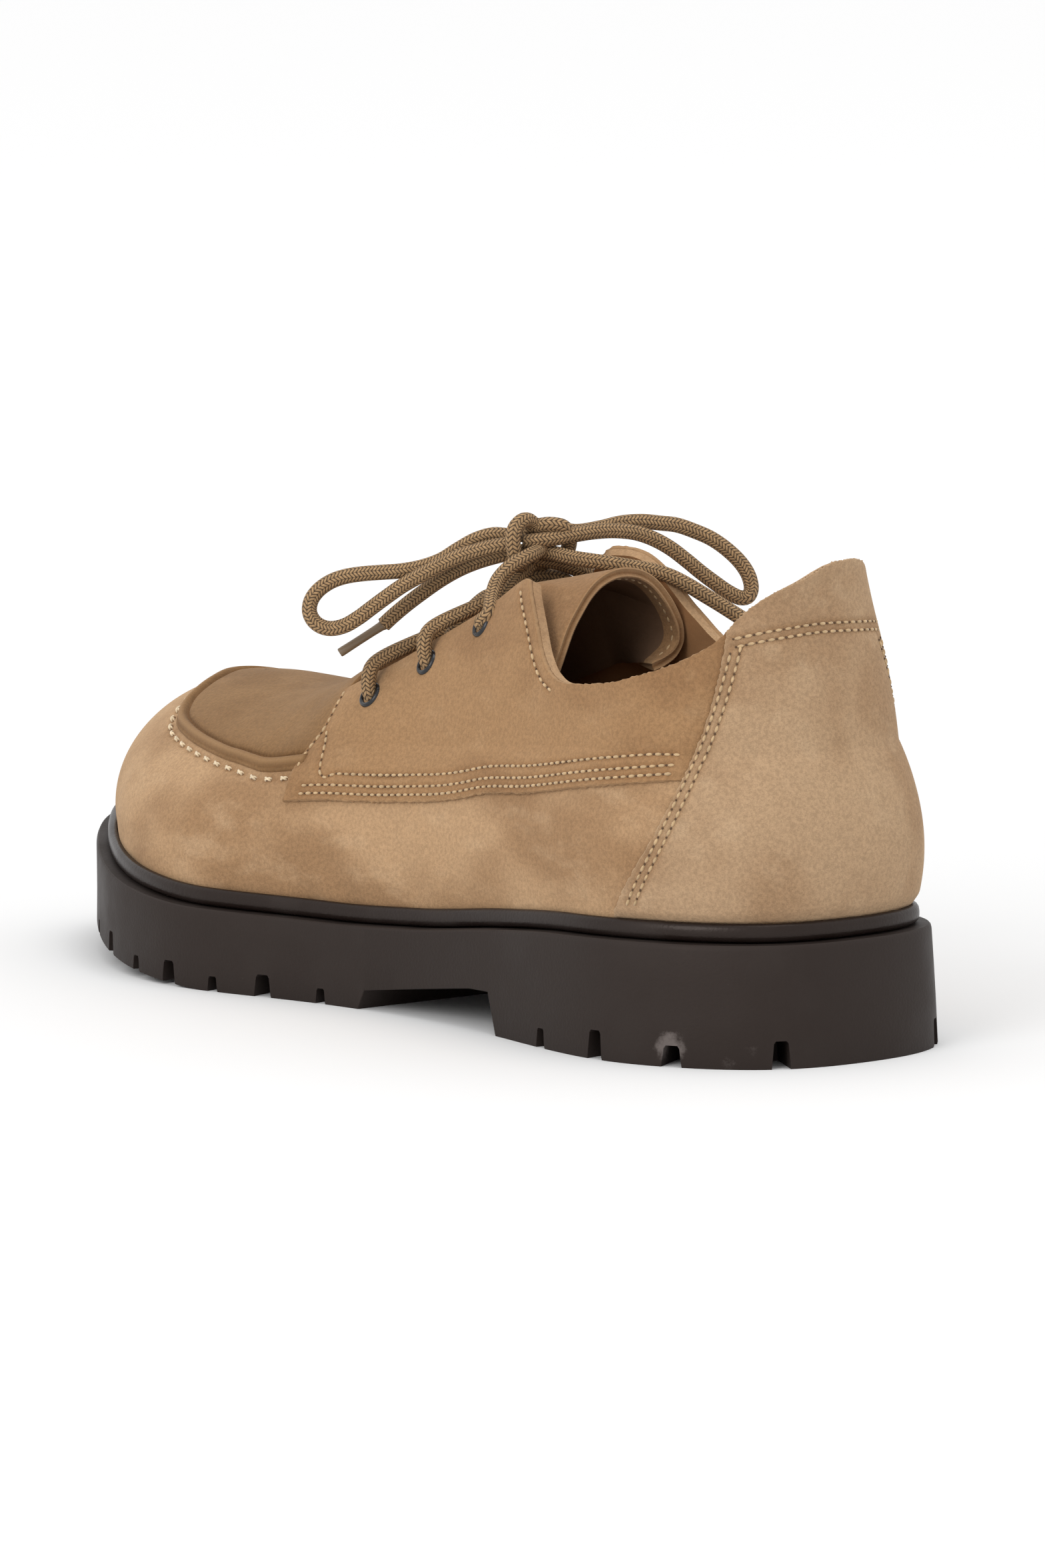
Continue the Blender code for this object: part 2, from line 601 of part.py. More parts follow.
# Tongue: the inner side of the last, with a lower crest where it stands free at the ankle
tongue_rows, tongue_columns = 12, 16
tongue_outer = np.zeros((tongue_rows + 1, tongue_columns + 1, 3))
for i in range(tongue_rows + 1):
    for j in range(tongue_columns + 1):
        side = 2 * j / tongue_columns - 1
        end = float(table(TONGUE_END, side))
        s = end + (TONGUE_ROOT - end) * i / tongue_rows
        edge_v = float(table(TONGUE_SIDE, s))
        v = 1 - (1 - edge_v) * abs(side)
        point = shell(s if side <= 0 else 2 - s, v, -WALL - TONGUE_GAP)
        limit = float(table(TONGUE_TOP, point[1] / SOLE_LENGTH)) * ANKLE_HEIGHT
        blend = 0.05 * ANKLE_HEIGHT
        over = (point[2] - limit) / blend
        point[2] = limit - blend * 0.5 * (np.sqrt(over * over + 0.16) - over) + 0.2 * blend if over > -2 else point[2]
        tongue_outer[i, j] = point
turn_i = np.gradient(tongue_outer, axis=0)
turn_j = np.gradient(tongue_outer, axis=1)
normal = np.cross(turn_j, turn_i)
normal /= np.linalg.norm(normal, axis=-1, keepdims=True)
if normal[6, 8, 2] < 0:
    normal = -normal
tongue_inner = tongue_outer - normal * TONGUE
step = tongue_columns + 1
tongue_faces = [(i * step + j, i * step + j + 1, (i + 1) * step + j + 1, (i + 1) * step + j)
                for i in range(tongue_rows) for j in range(tongue_columns)]
thick("tongue", tongue_outer.reshape(-1, 3), tongue_inner.reshape(-1, 3), tongue_faces, suede)

# Eyelets: rings flat on the quarters
for label, rows, flip in (("lateral", EYELETS_OUTER, False), ("medial", EYELETS_INNER, True)):
    for number, (s, v) in enumerate(rows, 1):
        w = 2 - s if flip else s
        foot = shell(w, v, 0.0)
        out = shell(w, v, 1.0) - foot
        first = shell(w, v + 0.01, 0.0) - foot
        first = first - out * (first @ out)
        first /= np.linalg.norm(first)
        second = np.cross(out, first)
        base = OVERLAY_GAP + OVERLAY + JOIN_GAP
        profile = ((EYELET_HOLE, base), (EYELET_RADIUS, base), (EYELET_RADIUS, base + 0.6 * EYELET_HEIGHT),
                   (EYELET_RADIUS - 0.0004, base + EYELET_HEIGHT), (EYELET_HOLE, base + EYELET_HEIGHT))
        points = []
        for k in range(12):
            turn = 2 * pi * k / 12
            spoke = first * np.cos(turn) + second * np.sin(turn)
            points += [foot + spoke * r + out * h for r, h in profile]
        n = len(profile)
        faces = [(k * n + j, (k + 1) % 12 * n + j, (k + 1) % 12 * n + (j + 1) % n, k * n + (j + 1) % n)
                 for k in range(12) for j in range(n)]
        solid(f"eyelet_{label}_{number}", points, faces, (BLACK, 0.35, 1.0))


def smooth_path(points, count):
    """Even points on a smooth curve through the given ones."""
    points = np.array(points, float)
    knots = np.r_[0, np.cumsum(np.linalg.norm(np.diff(points, axis=0), axis=1) ** 0.5)]
    fine = np.linspace(0, knots[-1], 400)
    out = []
    for k in range(3):
        tangent = np.gradient(points[:, k], knots)
        i = np.clip(np.searchsorted(knots, fine, side="right") - 1, 0, len(knots) - 2)
        width = knots[i + 1] - knots[i]
        t = (fine - knots[i]) / width
        value = points[i, k] * (1 + 2 * t) * (1 - t) ** 2 + points[i + 1, k] * t * t * (3 - 2 * t)
        out.append(value + width * t * (1 - t) * (tangent[i] * (1 - t) - tangent[i + 1] * t))
    line = np.stack(out, axis=1)
    length = np.r_[0, np.cumsum(np.linalg.norm(np.diff(line, axis=0), axis=1))]
    even = np.linspace(0, length[-1], count)
    return np.stack([np.interp(even, length, line[:, k]) for k in range(3)], axis=1)


def tube(name, path, radius, sides, finish, tool=False, taper=1.0):
    """A closed faceted tube along a path."""
    path = np.array(path)
    along = np.gradient(path, axis=0)
    along /= np.linalg.norm(along, axis=1)[:, None]
    side = np.cross(along[0], [0.3, 0.2, 1.0])
    points = []
    for k, (place, way) in enumerate(zip(path, along)):
        side = side - way * (side @ way)
        side /= np.linalg.norm(side)
        other = np.cross(way, side)
        r = radius * (1 + (taper - 1) * k / (len(path) - 1))
        angles = [2 * pi * j / sides for j in range(sides)]
        points += [place + (side * np.cos(a) + other * np.sin(a)) * r for a in angles]
    faces = [(k * sides + j, k * sides + (j + 1) % sides, (k + 1) * sides + (j + 1) % sides, (k + 1) * sides + j)
             for k in range(len(path) - 1) for j in range(sides)]
    faces += [tuple(range(sides))[::-1], tuple((len(path) - 1) * sides + j for j in range(sides))]
    return solid(name, points, faces, finish, tool=tool)


# Lace crossings: each pair leaves its eyelets over the facings and crosses above the tongue
lace_finish = (LACE, 0.85)
OVER_EYELET = OVERLAY_GAP + OVERLAY + JOIN_GAP + EYELET_HEIGHT + JOIN_GAP + LACE_RADIUS
OVER_TONGUE = -WALL - TONGUE_GAP + LACE_RADIUS + 0.0017


def lace_route(low, high):
    """From over one eyelet across to just short of the opposite facing."""
    rows = ((0.0, 0.0, OVER_EYELET), (0.14, 0.12, OVER_EYELET), (0.30, 0.28, OVER_EYELET * 0.86), (0.50, 0.50, OVER_TONGUE),
            (0.58, 0.58, OVER_TONGUE), (0.64, 0.65, OVER_TONGUE))
    points = []
    for share, climb, lift in rows:
        place = -(1 - low[1]) + ((1 - low[1]) + (1 - high[1])) * share
        s = low[0] + (high[0] - low[0]) * climb
        points.append((s, place, lift))
    return points


def lace_points(route, flip, middle):
    points = []
    for s, place, lift in route:
        outer_side = (place < 0) != flip
        point = shell(s if outer_side else 2 - s, 1 - abs(place), lift)
        points.append(point)
    points[3] = middle
    return smooth_path(points, 12)


for name, low, high in (("lace_cross_1", 0, 1), ("lace_cross_2", 1, 2)):
    one = lace_route(EYELETS_OUTER[low], EYELETS_INNER[high])
    two = lace_route(EYELETS_INNER[low], EYELETS_OUTER[high])
    middle = (shell(one[3][0], 1 - 1e-3, OVER_TONGUE) + shell(2 - two[3][0], 1 - 1e-3, OVER_TONGUE)) / 2
    body = tube(name, lace_points(one, False, middle), LACE_RADIUS, 8, lace_finish)
    combine(body, tube(name + "_join", lace_points(two, True, middle), LACE_RADIUS, 8, None, tool=True), "UNION")

knot = np.array(KNOT_CENTRE)
bow = np.array(BOW_AXIS)
foot_of_knot = knot - (0, 0.0015, KNOT_RADIUS + 2 * LACE_RADIUS - 0.00005)


def riser_points(s, v, flip):
    w = 2 - s if flip else s
    points = [shell(w, v, OVER_EYELET), shell(w, v + 0.06, OVER_EYELET), shell(w, v + 0.15, OVER_EYELET * 0.9)]
    toward = foot_of_knot + (points[-1] - foot_of_knot) * 0.45 + (0, 0, 0.3 * LACE_RADIUS)
    return smooth_path(points + [toward, foot_of_knot], 12)


body = tube("lace_risers", riser_points(*EYELETS_OUTER[2], False), LACE_RADIUS, 8, lace_finish)
combine(body, tube("lace_risers_join", riser_points(*EYELETS_INNER[2], True), LACE_RADIUS, 8, None, tool=True), "UNION")


def cord(name, points, count, radius=LACE_RADIUS):
    """A lace as a smooth bevelled curve."""
    path = smooth_path(points, count) - ORIGIN
    curve = bpy.data.curves.new(name, "CURVE")
    curve.dimensions = "3D"
    curve.bevel_depth = radius
    curve.bevel_resolution = 2
    curve.use_fill_caps = True
    line = curve.splines.new("POLY")
    line.points.add(len(path) - 1)
    for point, place in zip(line.points, path):
        point.co = (*place, 1)
    made = bpy.data.objects.new(name, curve)
    bpy.context.scene.collection.objects.link(made)
    made.data.materials.append(material(name + "_finish", *lace_finish))
    return path


# Bow: the knot's wrap, two loops and two ends
up = np.array((0, 0, 1.0))
across_bow = np.cross(up, bow)
turns = np.linspace(0.22 * pi, 1.78 * pi, 13)
wrap = [knot + (across_bow * np.cos(t) + up * np.sin(t)) * KNOT_RADIUS for t in turns]
cord("bow_knot", wrap, 28)
cord("loop_lateral", LOOP_OUTER, 44)
cord("loop_medial", LOOP_INNER, 44)
for label, rows in (("lateral", END_OUTER), ("medial", END_INNER)):
    path = cord("end_" + label, rows, 20) + ORIGIN
    way = path[-1] - path[-2]
    way /= np.linalg.norm(way)
    start = path[-1] + way * JOIN_GAP
    tip = [start, start + way * TIP_LENGTH * 0.85, start + way * TIP_LENGTH]
    tube("tip_" + label, tip, TIP_RADIUS, 10, (LACE, 0.5), taper=0.85)
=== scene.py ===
# %% [markdown]
# # A suede derby shoe on a lugged rubber sole
# One shoe, the left one, stands empty on a pale floor. The frame brings the plain solids of the
# shoe. Every piece but the insole is made here again, finer, in the same place and with the same
# sizes.

import bmesh
import bpy
import numpy as np
from math import cos, pi, radians, sin
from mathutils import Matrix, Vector


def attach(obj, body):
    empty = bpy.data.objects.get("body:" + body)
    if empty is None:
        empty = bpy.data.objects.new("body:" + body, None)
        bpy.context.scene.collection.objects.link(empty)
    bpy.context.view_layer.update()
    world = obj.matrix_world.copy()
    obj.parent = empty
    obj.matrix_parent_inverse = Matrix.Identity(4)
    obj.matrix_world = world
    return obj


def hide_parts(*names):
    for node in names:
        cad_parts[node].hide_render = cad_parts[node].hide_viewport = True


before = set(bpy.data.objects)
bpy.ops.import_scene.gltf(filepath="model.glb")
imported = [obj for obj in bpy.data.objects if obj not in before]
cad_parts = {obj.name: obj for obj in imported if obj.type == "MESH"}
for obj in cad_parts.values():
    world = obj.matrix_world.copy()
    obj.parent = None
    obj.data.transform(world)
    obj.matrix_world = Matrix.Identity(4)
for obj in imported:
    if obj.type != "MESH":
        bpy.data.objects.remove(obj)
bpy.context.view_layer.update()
print("solids in the frame:", len(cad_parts))

# %% [markdown]
# ## Sizes and the last
# A shoe is built round a last, a wooden foot. The sole's outline, the height of its edge and the
# crest of the instep are short tables of shares, and every sheet of suede is a part of that one
# surface, lifted a little. This keeps seams, overlays and stitches together when a size changes.

# %% Driving sizes
SOLE_LENGTH = 0.276
BALL_WIDTH = 0.107
HEEL_HEIGHT = 0.0283
TOE_SPRING = 0.0115
ANKLE_HEIGHT = 0.150
FEATHER_INSET = 0.0065
SIDE_BULGE = 0.0038
BULGE_HEIGHT = 0.042
WALL = 0.0020
WELT_HEIGHT = 0.0043
JOIN_GAP = 0.0003
LACE_RADIUS = 0.00182
MM = 0.001

SOLE_OUTLINE = (
    # along / SOLE_LENGTH, outer side / BALL_WIDTH, inner side / BALL_WIDTH
    (0.000, 0.030, 0.030), (0.010, -0.145, 0.205), (0.040, -0.257, 0.320), (0.080, -0.333, 0.363),
    (0.140, -0.390, 0.376), (0.280, -0.380, 0.338), (0.420, -0.374, 0.329), (0.550, -0.432, 0.386),
    (0.680, -0.523, 0.467), (0.800, -0.472, 0.474), (0.910, -0.310, 0.385), (0.960, -0.203, 0.275),
    (0.990, -0.103, 0.155), (1.000, 0.026, 0.026),
)
SOLE_TOP = (
    # along / SOLE_LENGTH, height / HEEL_HEIGHT
    (0.00, 1.000), (0.10, 0.996), (0.20, 0.965), (0.30, 0.876), (0.42, 0.742), (0.52, 0.693),
    (0.65, 0.700), (0.75, 0.763), (0.85, 0.876), (0.93, 0.989), (1.00, 1.071),
)
TOE_RISE = (
    # along / SOLE_LENGTH, height / TOE_SPRING
    (0.65, 0.0), (0.70, 0.09), (0.75, 0.19), (0.80, 0.31), (0.85, 0.44), (0.90, 0.61), (0.95, 0.80),
    (1.04, 1.16),
)
CREST = (
    # along / SOLE_LENGTH, sideways / BALL_WIDTH, height / ANKLE_HEIGHT, roundness of the section
    (0.170, 0.000, 1.000, 2.00), (0.270, 0.005, 0.873, 2.10), (0.345, 0.009, 0.787, 2.20),
    (0.400, 0.012, 0.717, 2.20), (0.465, 0.015, 0.647, 2.20), (0.533, 0.019, 0.583, 2.20),
    (0.580, 0.021, 0.537, 2.15), (0.635, 0.024, 0.487, 2.00), (0.690, 0.028, 0.455, 2.00),
    (0.730, 0.032, 0.448, 2.00), (0.790, 0.036, 0.449, 2.00), (0.835, 0.037, 0.445, 2.00),
)
SPINE_REAR = 0.326
SPINE_FRONT = 0.616
THROAT_FRONT = 0.575
TOPLINE_OUTER = (
    # place round the last (0 heel, 1 toe), share of the way from feather line to crest
    (0.000, 0.480), (0.015, 0.470), (0.052, 0.446), (0.080, 0.414), (0.090, 0.396), (0.105, 0.375),
    (0.138, 0.350), (0.165, 0.338), (0.200, 0.330), (0.245, 0.336), (0.268, 0.348), (0.285, 0.370),
    (0.301, 0.410), (0.315, 0.463), (0.341, 0.570), (0.3515, 0.618), (0.359, 0.627), (0.385, 0.634),
    (0.465, 0.650),
    (0.530, 0.630), (0.575, 0.632),
)
TOPLINE_INNER = (
    (0.000, 0.480), (0.020, 0.489), (0.040, 0.490), (0.070, 0.482), (0.100, 0.450), (0.122, 0.408),
    (0.150, 0.372), (0.188, 0.348), (0.236, 0.346), (0.270, 0.364), (0.291, 0.392), (0.303, 0.420),
    (0.313, 0.452), (0.325, 0.496), (0.335, 0.550), (0.345, 0.616), (0.356, 0.680), (0.370, 0.740),
    (0.384, 0.786), (0.396, 0.786), (0.412, 0.735), (0.436, 0.680), (0.480, 0.645), (0.530, 0.630),
    (0.575, 0.632),
)
COUNTER_SEAM = (
    # share from feather line to crest, place round the last
    (0.000, 0.182), (0.060, 0.165), (0.119, 0.147), (0.175, 0.132), (0.231, 0.118), (0.281, 0.107),
    (0.331, 0.098), (0.381, 0.091), (0.450, 0.088),
)
QUARTER_EDGE = (
    # place round the last, share from feather line to crest
    (0.090, 0.200), (0.128, 0.196), (0.195, 0.188), (0.275, 0.181), (0.362, 0.188), (0.443, 0.213),
    (0.520, 0.244), (0.575, 0.270),
)
APRON_EDGE_OUTER = (
    (0.560, 0.350), (0.575, 0.360), (0.613, 0.400), (0.660, 0.463), (0.715, 0.506), (0.760, 0.525),
    (0.802, 0.544),
    (0.835, 0.585), (0.880, 0.680), (0.920, 0.755), (0.960, 0.797), (1.000, 0.812),
)
APRON_EDGE_INNER = (
    (0.560, 0.360), (0.575, 0.370), (0.613, 0.410), (0.660, 0.465), (0.715, 0.510), (0.760, 0.545),
    (0.802, 0.580),
    (0.835, 0.620), (0.880, 0.705), (0.920, 0.765), (0.960, 0.800), (1.000, 0.812),
)
EYELETS_OUTER = ((0.525, 0.531), (0.466, 0.562), (0.403, 0.581))
EYELETS_INNER = ((0.527, 0.533), (0.472, 0.560), (0.415, 0.578))

# %% Curves and tables


def spline(values, steps):
    """Closed smooth curve through the values."""
    knots = np.r_[0, np.cumsum(np.linalg.norm(np.diff(values, axis=0), axis=1) ** 0.75)]
    count = len(knots)
    width = np.diff(knots)
    slope = np.diff(values, axis=0) / width[:, None]
    matrix = np.zeros((count, count))
    right = np.zeros((count, 2))
    for i in range(1, count - 1):
        matrix[i, i - 1:i + 2] = width[i - 1], 2 * (width[i - 1] + width[i]), width[i]
        right[i] = 6 * (slope[i] - slope[i - 1])
    matrix[0, 0], matrix[0, -1] = 1, -1
    matrix[-1, 0], matrix[-1, 1] = 2 * width[0], width[0]
    matrix[-1, -2], matrix[-1, -1] = width[-1], 2 * width[-1]
    right[-1] = 6 * (slope[0] - slope[-1])
    bend = np.linalg.solve(matrix, right)
    at = np.linspace(0, knots[-1], steps + 1)
    i = np.clip(np.searchsorted(knots, at, side="right") - 1, 0, count - 2)
    span = width[i][:, None]
    ahead = (at - knots[i])[:, None]
    behind = span - ahead
    curve = (bend[i] * behind ** 3 + bend[i + 1] * ahead ** 3) / (6 * span)
    curve += (values[i] / span - bend[i] * span / 6) * behind
    curve += (values[i + 1] / span - bend[i + 1] * span / 6) * ahead
    return curve


def table(rows, x, column=1):
    """Smooth reading of a table that never overshoots its rows."""
    xs = np.array([row[0] for row in rows], float)
    ys = np.array([row[column] for row in rows], float)
    width = np.diff(xs)
    slope = np.diff(ys) / width
    tangent = np.zeros(len(xs))
    tangent[0], tangent[-1] = slope[0], slope[-1]
    for i in range(1, len(xs) - 1):
        if slope[i - 1] * slope[i] > 0:
            a, b = 2 * width[i] + width[i - 1], width[i] + 2 * width[i - 1]
            tangent[i] = (a + b) / (a / slope[i - 1] + b / slope[i])
    x = np.clip(np.asarray(x, float), xs[0], xs[-1])
    i = np.clip(np.searchsorted(xs, x, side="right") - 1, 0, len(xs) - 2)
    t = (x - xs[i]) / width[i]
    value = ys[i] * (1 + 2 * t) * (1 - t) ** 2 + ys[i + 1] * t * t * (3 - 2 * t)
    return value + width[i] * t * (1 - t) * (tangent[i] * (1 - t) - tangent[i + 1] * t)


def travel(line):
    """Distance walked along a line, at each of its points."""
    return np.r_[0, np.cumsum(np.linalg.norm(np.diff(line, axis=0), axis=1))]


def walk(line, step):
    """Points an even step apart on a line."""
    length = travel(line)
    even = np.linspace(0, length[-1], max(3, int(length[-1] / step)))
    return np.stack([np.interp(even, length, line[:, axis]) for axis in range(3)], axis=1)


def unit(vectors):
    """Vectors with a length of one."""
    return vectors / np.linalg.norm(vectors, axis=-1, keepdims=True)


def even_path(points, step):
    """Points a step apart on a smooth curve through chosen ones."""
    points = np.array(points, float)
    knots = np.r_[0, np.cumsum(np.linalg.norm(np.diff(points, axis=0), axis=1) ** 0.5)]
    fine = np.linspace(0, knots[-1], 60 * len(points))
    i = np.clip(np.searchsorted(knots, fine, side="right") - 1, 0, len(knots) - 2)
    width = knots[i + 1] - knots[i]
    t = (fine - knots[i]) / width
    line = []
    for axis in range(3):
        tangent = np.gradient(points[:, axis], knots)
        value = points[i, axis] * (1 + 2 * t) * (1 - t) ** 2 + points[i + 1, axis] * t * t * (3 - 2 * t)
        line.append(value + width * t * (1 - t) * (tangent[i] * (1 - t) - tangent[i + 1] * t))
    return walk(np.stack(line, axis=1), step)


# %% The sole's edge and the last's surface
corners = [(row[1] * BALL_WIDTH, row[0] * SOLE_LENGTH) for row in SOLE_OUTLINE]
corners += [(row[2] * BALL_WIDTH, row[0] * SOLE_LENGTH) for row in SOLE_OUTLINE[-2::-1]]
edge = spline(np.array(corners), 1440)[:-1]
edge = np.roll(edge, -edge[:, 1].argmin(), axis=0)
onward = np.roll(edge, -1, axis=0) - np.roll(edge, 1, axis=0)
inward = unit(np.stack([onward[:, 1], -onward[:, 0]], axis=1))
feather = edge + inward * FEATHER_INSET
toe_index = feather[:, 1].argmax()
ORIGIN = np.array([(edge[:, 0].max() + edge[:, 0].min()) / 2, (edge[:, 1].max() + edge[:, 1].min()) / 2, 0.0])


def arc_shares(line):
    return travel(line) / travel(line)[-1]


outer_ids = np.arange(0, toe_index + 1)
inner_ids = np.arange(len(feather), toe_index - 1, -1) % len(feather)
outer_arc = arc_shares(feather[outer_ids])
inner_arc = arc_shares(feather[inner_ids])


def edge_point(w, inset):
    """Point round the shoe (0 heel, 1 toe, 2 heel again), inset from the sole's edge."""
    w = np.mod(np.asarray(w, float), 2.0)
    share = np.where(w <= 1, w, 2 - w)
    out = []
    for axis in (0, 1):
        outer, inner = (
            np.interp(share, arc, edge[ids, axis]) + np.interp(share, arc, inward[ids, axis]) * inset
            for arc, ids in ((outer_arc, outer_ids), (inner_arc, inner_ids))
        )
        out.append(np.where(w <= 1, outer, inner))
    return out + [(outer + inner) / 2]


def sole_top(y):
    return table(SOLE_TOP, y / SOLE_LENGTH) * HEEL_HEIGHT


def toe_rise(y):
    return table(TOE_RISE, y / SOLE_LENGTH) * TOE_SPRING


def section(w):
    """Foot of a section of the last, its crest point and its roundness."""
    x, y, middle = edge_point(w, FEATHER_INSET)
    front, rear = SPINE_FRONT * SOLE_LENGTH, SPINE_REAR * SOLE_LENGTH
    toe, heel = feather[:, 1].max(), feather[:, 1].min()
    ahead = np.clip((middle - front) / (toe - front), 0, 1)
    behind = np.clip((rear - middle) / (rear - heel), 0, 1)
    crest_y = np.where(middle > front, front + (toe - front) * (ahead - 0.4 * ahead ** 2), middle)
    crest_y = np.where(middle < rear, rear - (rear - heel) * (behind - 0.5 * behind ** 2), crest_y)
    share = crest_y / SOLE_LENGTH
    crest = table(CREST, share, 1) * BALL_WIDTH, crest_y, table(CREST, share, 2) * ANKLE_HEIGHT
    return x, y, sole_top(y) + JOIN_GAP, crest, table(CREST, share, 3)


def last(w, v):
    """Outer face of the upper: w round the shoe, v from the feather line (0) to the crest (1)."""
    w, v = np.broadcast_arrays(np.asarray(w, float), np.asarray(v, float))
    x, y, foot, (crest_x, crest_y, crest_z), power = section(w)
    reach = np.cos(v * pi / 2).clip(0) ** (2 / power)
    rise = np.sin(v * pi / 2).clip(0) ** (2 / power)
    z = foot + (crest_z - foot) * rise
    side = np.stack([x - crest_x, y - crest_y], axis=-1)
    out = side / np.maximum(np.linalg.norm(side, axis=-1, keepdims=True), 1e-9)
    up = np.clip((z - foot) / BULGE_HEIGHT, 0, 1)
    plan = np.stack([crest_x, crest_y], axis=-1) + side * reach[..., None]
    plan = plan + out * (SIDE_BULGE * 4 * up * (1 - up))[..., None]
    return np.concatenate([plan, z[..., None]], axis=-1)


def outward(w, v):
    """Outward normal of the last."""
    step = 0.002
    top = v > 1 - step
    across = last(w + step, v) - last(w - step, v)
    beyond = last((2 - w) % 2.0, 1 - step) - last(w, 1 - step)
    up = np.where(top[..., None], beyond, last(w, np.minimum(v + step, 1)) - last(w, np.maximum(v - step, 0)))
    normal = np.cross(up, across)
    length = np.linalg.norm(normal, axis=-1, keepdims=True)
    normal = np.where(length > 1e-12, normal / np.maximum(length, 1e-12), [0, 0, 1])
    return np.where(top[..., None] & (normal[..., 2:] < 0), -normal, normal)


TAB_FLARE = 0.0042


def shell(w, v, lift):
    """Point off the last along its normal, in the row's frame. The tab over the heel leans back."""
    w, v, lift = np.broadcast_arrays(np.asarray(w, float), np.asarray(v, float), np.asarray(lift, float))
    from_heel = np.minimum(np.mod(w, 2), 2 - np.mod(w, 2))
    flare = TAB_FLARE * np.exp(-(from_heel / 0.082) ** 4) * np.clip((v - 0.400) / 0.09, 0, 1.1) ** 1.6
    return last(w, v) + outward(w, v) * (lift + flare)[..., None] - ORIGIN


def share_at_height(w, height):
    """Share from feather line to crest at a height over the sole's top."""
    _, y, foot, crest, power = section(w)
    rise = np.clip((sole_top(y) + height - foot) / (crest[2] - foot), 0, 1)
    return np.arcsin(rise ** (power / 2)) * 2 / pi


def side_share(w):
    return np.where(np.mod(w, 2) <= 1, np.mod(w, 2), 2 - np.mod(w, 2))


def by_side(w, outer_rows, inner_rows):
    share = side_share(w)
    return np.where(np.mod(w, 2) <= 1, table(outer_rows, share), table(inner_rows, share))


def topline(w):
    return by_side(w, TOPLINE_OUTER, TOPLINE_INNER)


print("last: heel tip", np.round(shell(0.0, 0.0, 0.0), 4), "toe tip", np.round(shell(1.0, 0.0, 0.0), 4))

# %% [markdown]
# ## Finishes
# The suede is a node group of mottles, brush marks and a fine nap, used with other values for the
# upper, the counter, the quarters and the apron. Its grain is small and its sheen soft, as short
# fibres catch the light at the rim. Rubber, braid and thread are small materials of their own.

# %% A shader group for nap


def link(tree, source, target):
    tree.links.new(source, target)


def scale_color(tree, color, factor):
    made = tree.nodes.new("ShaderNodeVectorMath")
    made.operation = "SCALE"
    link(tree, color, made.inputs[0])
    link(tree, factor, made.inputs["Scale"])
    return made.outputs[0]


def noise(tree, vector, scale, detail, rough=0.5):
    made = tree.nodes.new("ShaderNodeTexNoise")
    made.inputs["Scale"].default_value = scale
    made.inputs["Detail"].default_value = detail
    made.inputs["Roughness"].default_value = rough
    link(tree, vector, made.inputs["Vector"])
    return made.outputs["Fac"]


def maths(tree, operation, first, second, clamp=False):
    made = tree.nodes.new("ShaderNodeMath")
    made.operation = operation
    made.use_clamp = clamp
    for socket, value in zip(made.inputs, (first, second)):
        if isinstance(value, (int, float)):
            socket.default_value = value
        else:
            link(tree, value, socket)
    return made.outputs[0]


def spread(tree, value, low, high, to_low=0.0, to_high=1.0):
    made = tree.nodes.new("ShaderNodeMapRange")
    made.interpolation_type = "SMOOTHSTEP"
    for name, number in zip(("From Min", "From Max", "To Min", "To Max"), (low, high, to_low, to_high)):
        made.inputs[name].default_value = number
    link(tree, value, made.inputs["Value"])
    return made.outputs["Result"]


def blend_colors(tree, share, first, second, mode="MIX"):
    made = tree.nodes.new("ShaderNodeMix")
    made.data_type = "RGBA"
    made.blend_type = mode
    for label, value in zip(("Factor", "A", "B"), (share, first, second)):
        socket = made.inputs[label]
        if isinstance(value, (int, float, tuple)):
            socket.default_value = value
        else:
            link(tree, value, socket)
    return made.outputs["Result"]


nap = bpy.data.node_groups.new("suede_nap", "ShaderNodeTree")
for label, way, kind in (
    ("Vector", "INPUT", "Vector"), ("Base", "INPUT", "Color"), ("Shade", "INPUT", "Color"),
    ("Pale", "INPUT", "Color"), ("Color", "OUTPUT", "Color"), ("Height", "OUTPUT", "Float"),
):
    nap.interface.new_socket(label, in_out=way, socket_type="NodeSocket" + kind)
inside = nap.nodes.new("NodeGroupInput")
outside = nap.nodes.new("NodeGroupOutput")
stretch = nap.nodes.new("ShaderNodeMapping")
stretch.inputs["Scale"].default_value = (1.0, 0.45, 1.0)
link(nap, inside.outputs["Vector"], stretch.inputs["Vector"])
clouds = noise(nap, stretch.outputs["Vector"], 27, 3, 0.55)
marks = noise(nap, stretch.outputs["Vector"], 120, 4, 0.6)
grain = noise(nap, inside.outputs["Vector"], 1150, 2, 0.6)
fibre = noise(nap, inside.outputs["Vector"], 3600, 1, 0.5)
shaded = blend_colors(nap, spread(nap, clouds, 0.58, 0.40), inside.outputs["Base"], inside.outputs["Shade"])
paled = blend_colors(nap, spread(nap, marks, 0.50, 0.78, 0.0, 0.55), shaded, inside.outputs["Pale"])
speck = maths(nap, "ADD", maths(nap, "MULTIPLY", grain, 0.50), maths(nap, "MULTIPLY", fibre, 0.30))
tone = spread(nap, speck, 0.26, 0.54, 0.84, 1.14)
link(nap, scale_color(nap, paled, tone), outside.inputs["Color"])
height = maths(nap, "ADD", maths(nap, "MULTIPLY", grain, 0.6), maths(nap, "MULTIPLY", marks, 0.35))
link(nap, maths(nap, "ADD", height, maths(nap, "MULTIPLY", fibre, 0.3)), outside.inputs["Height"])
print("nap group:", len(nap.nodes), "nodes")

# %% Materials


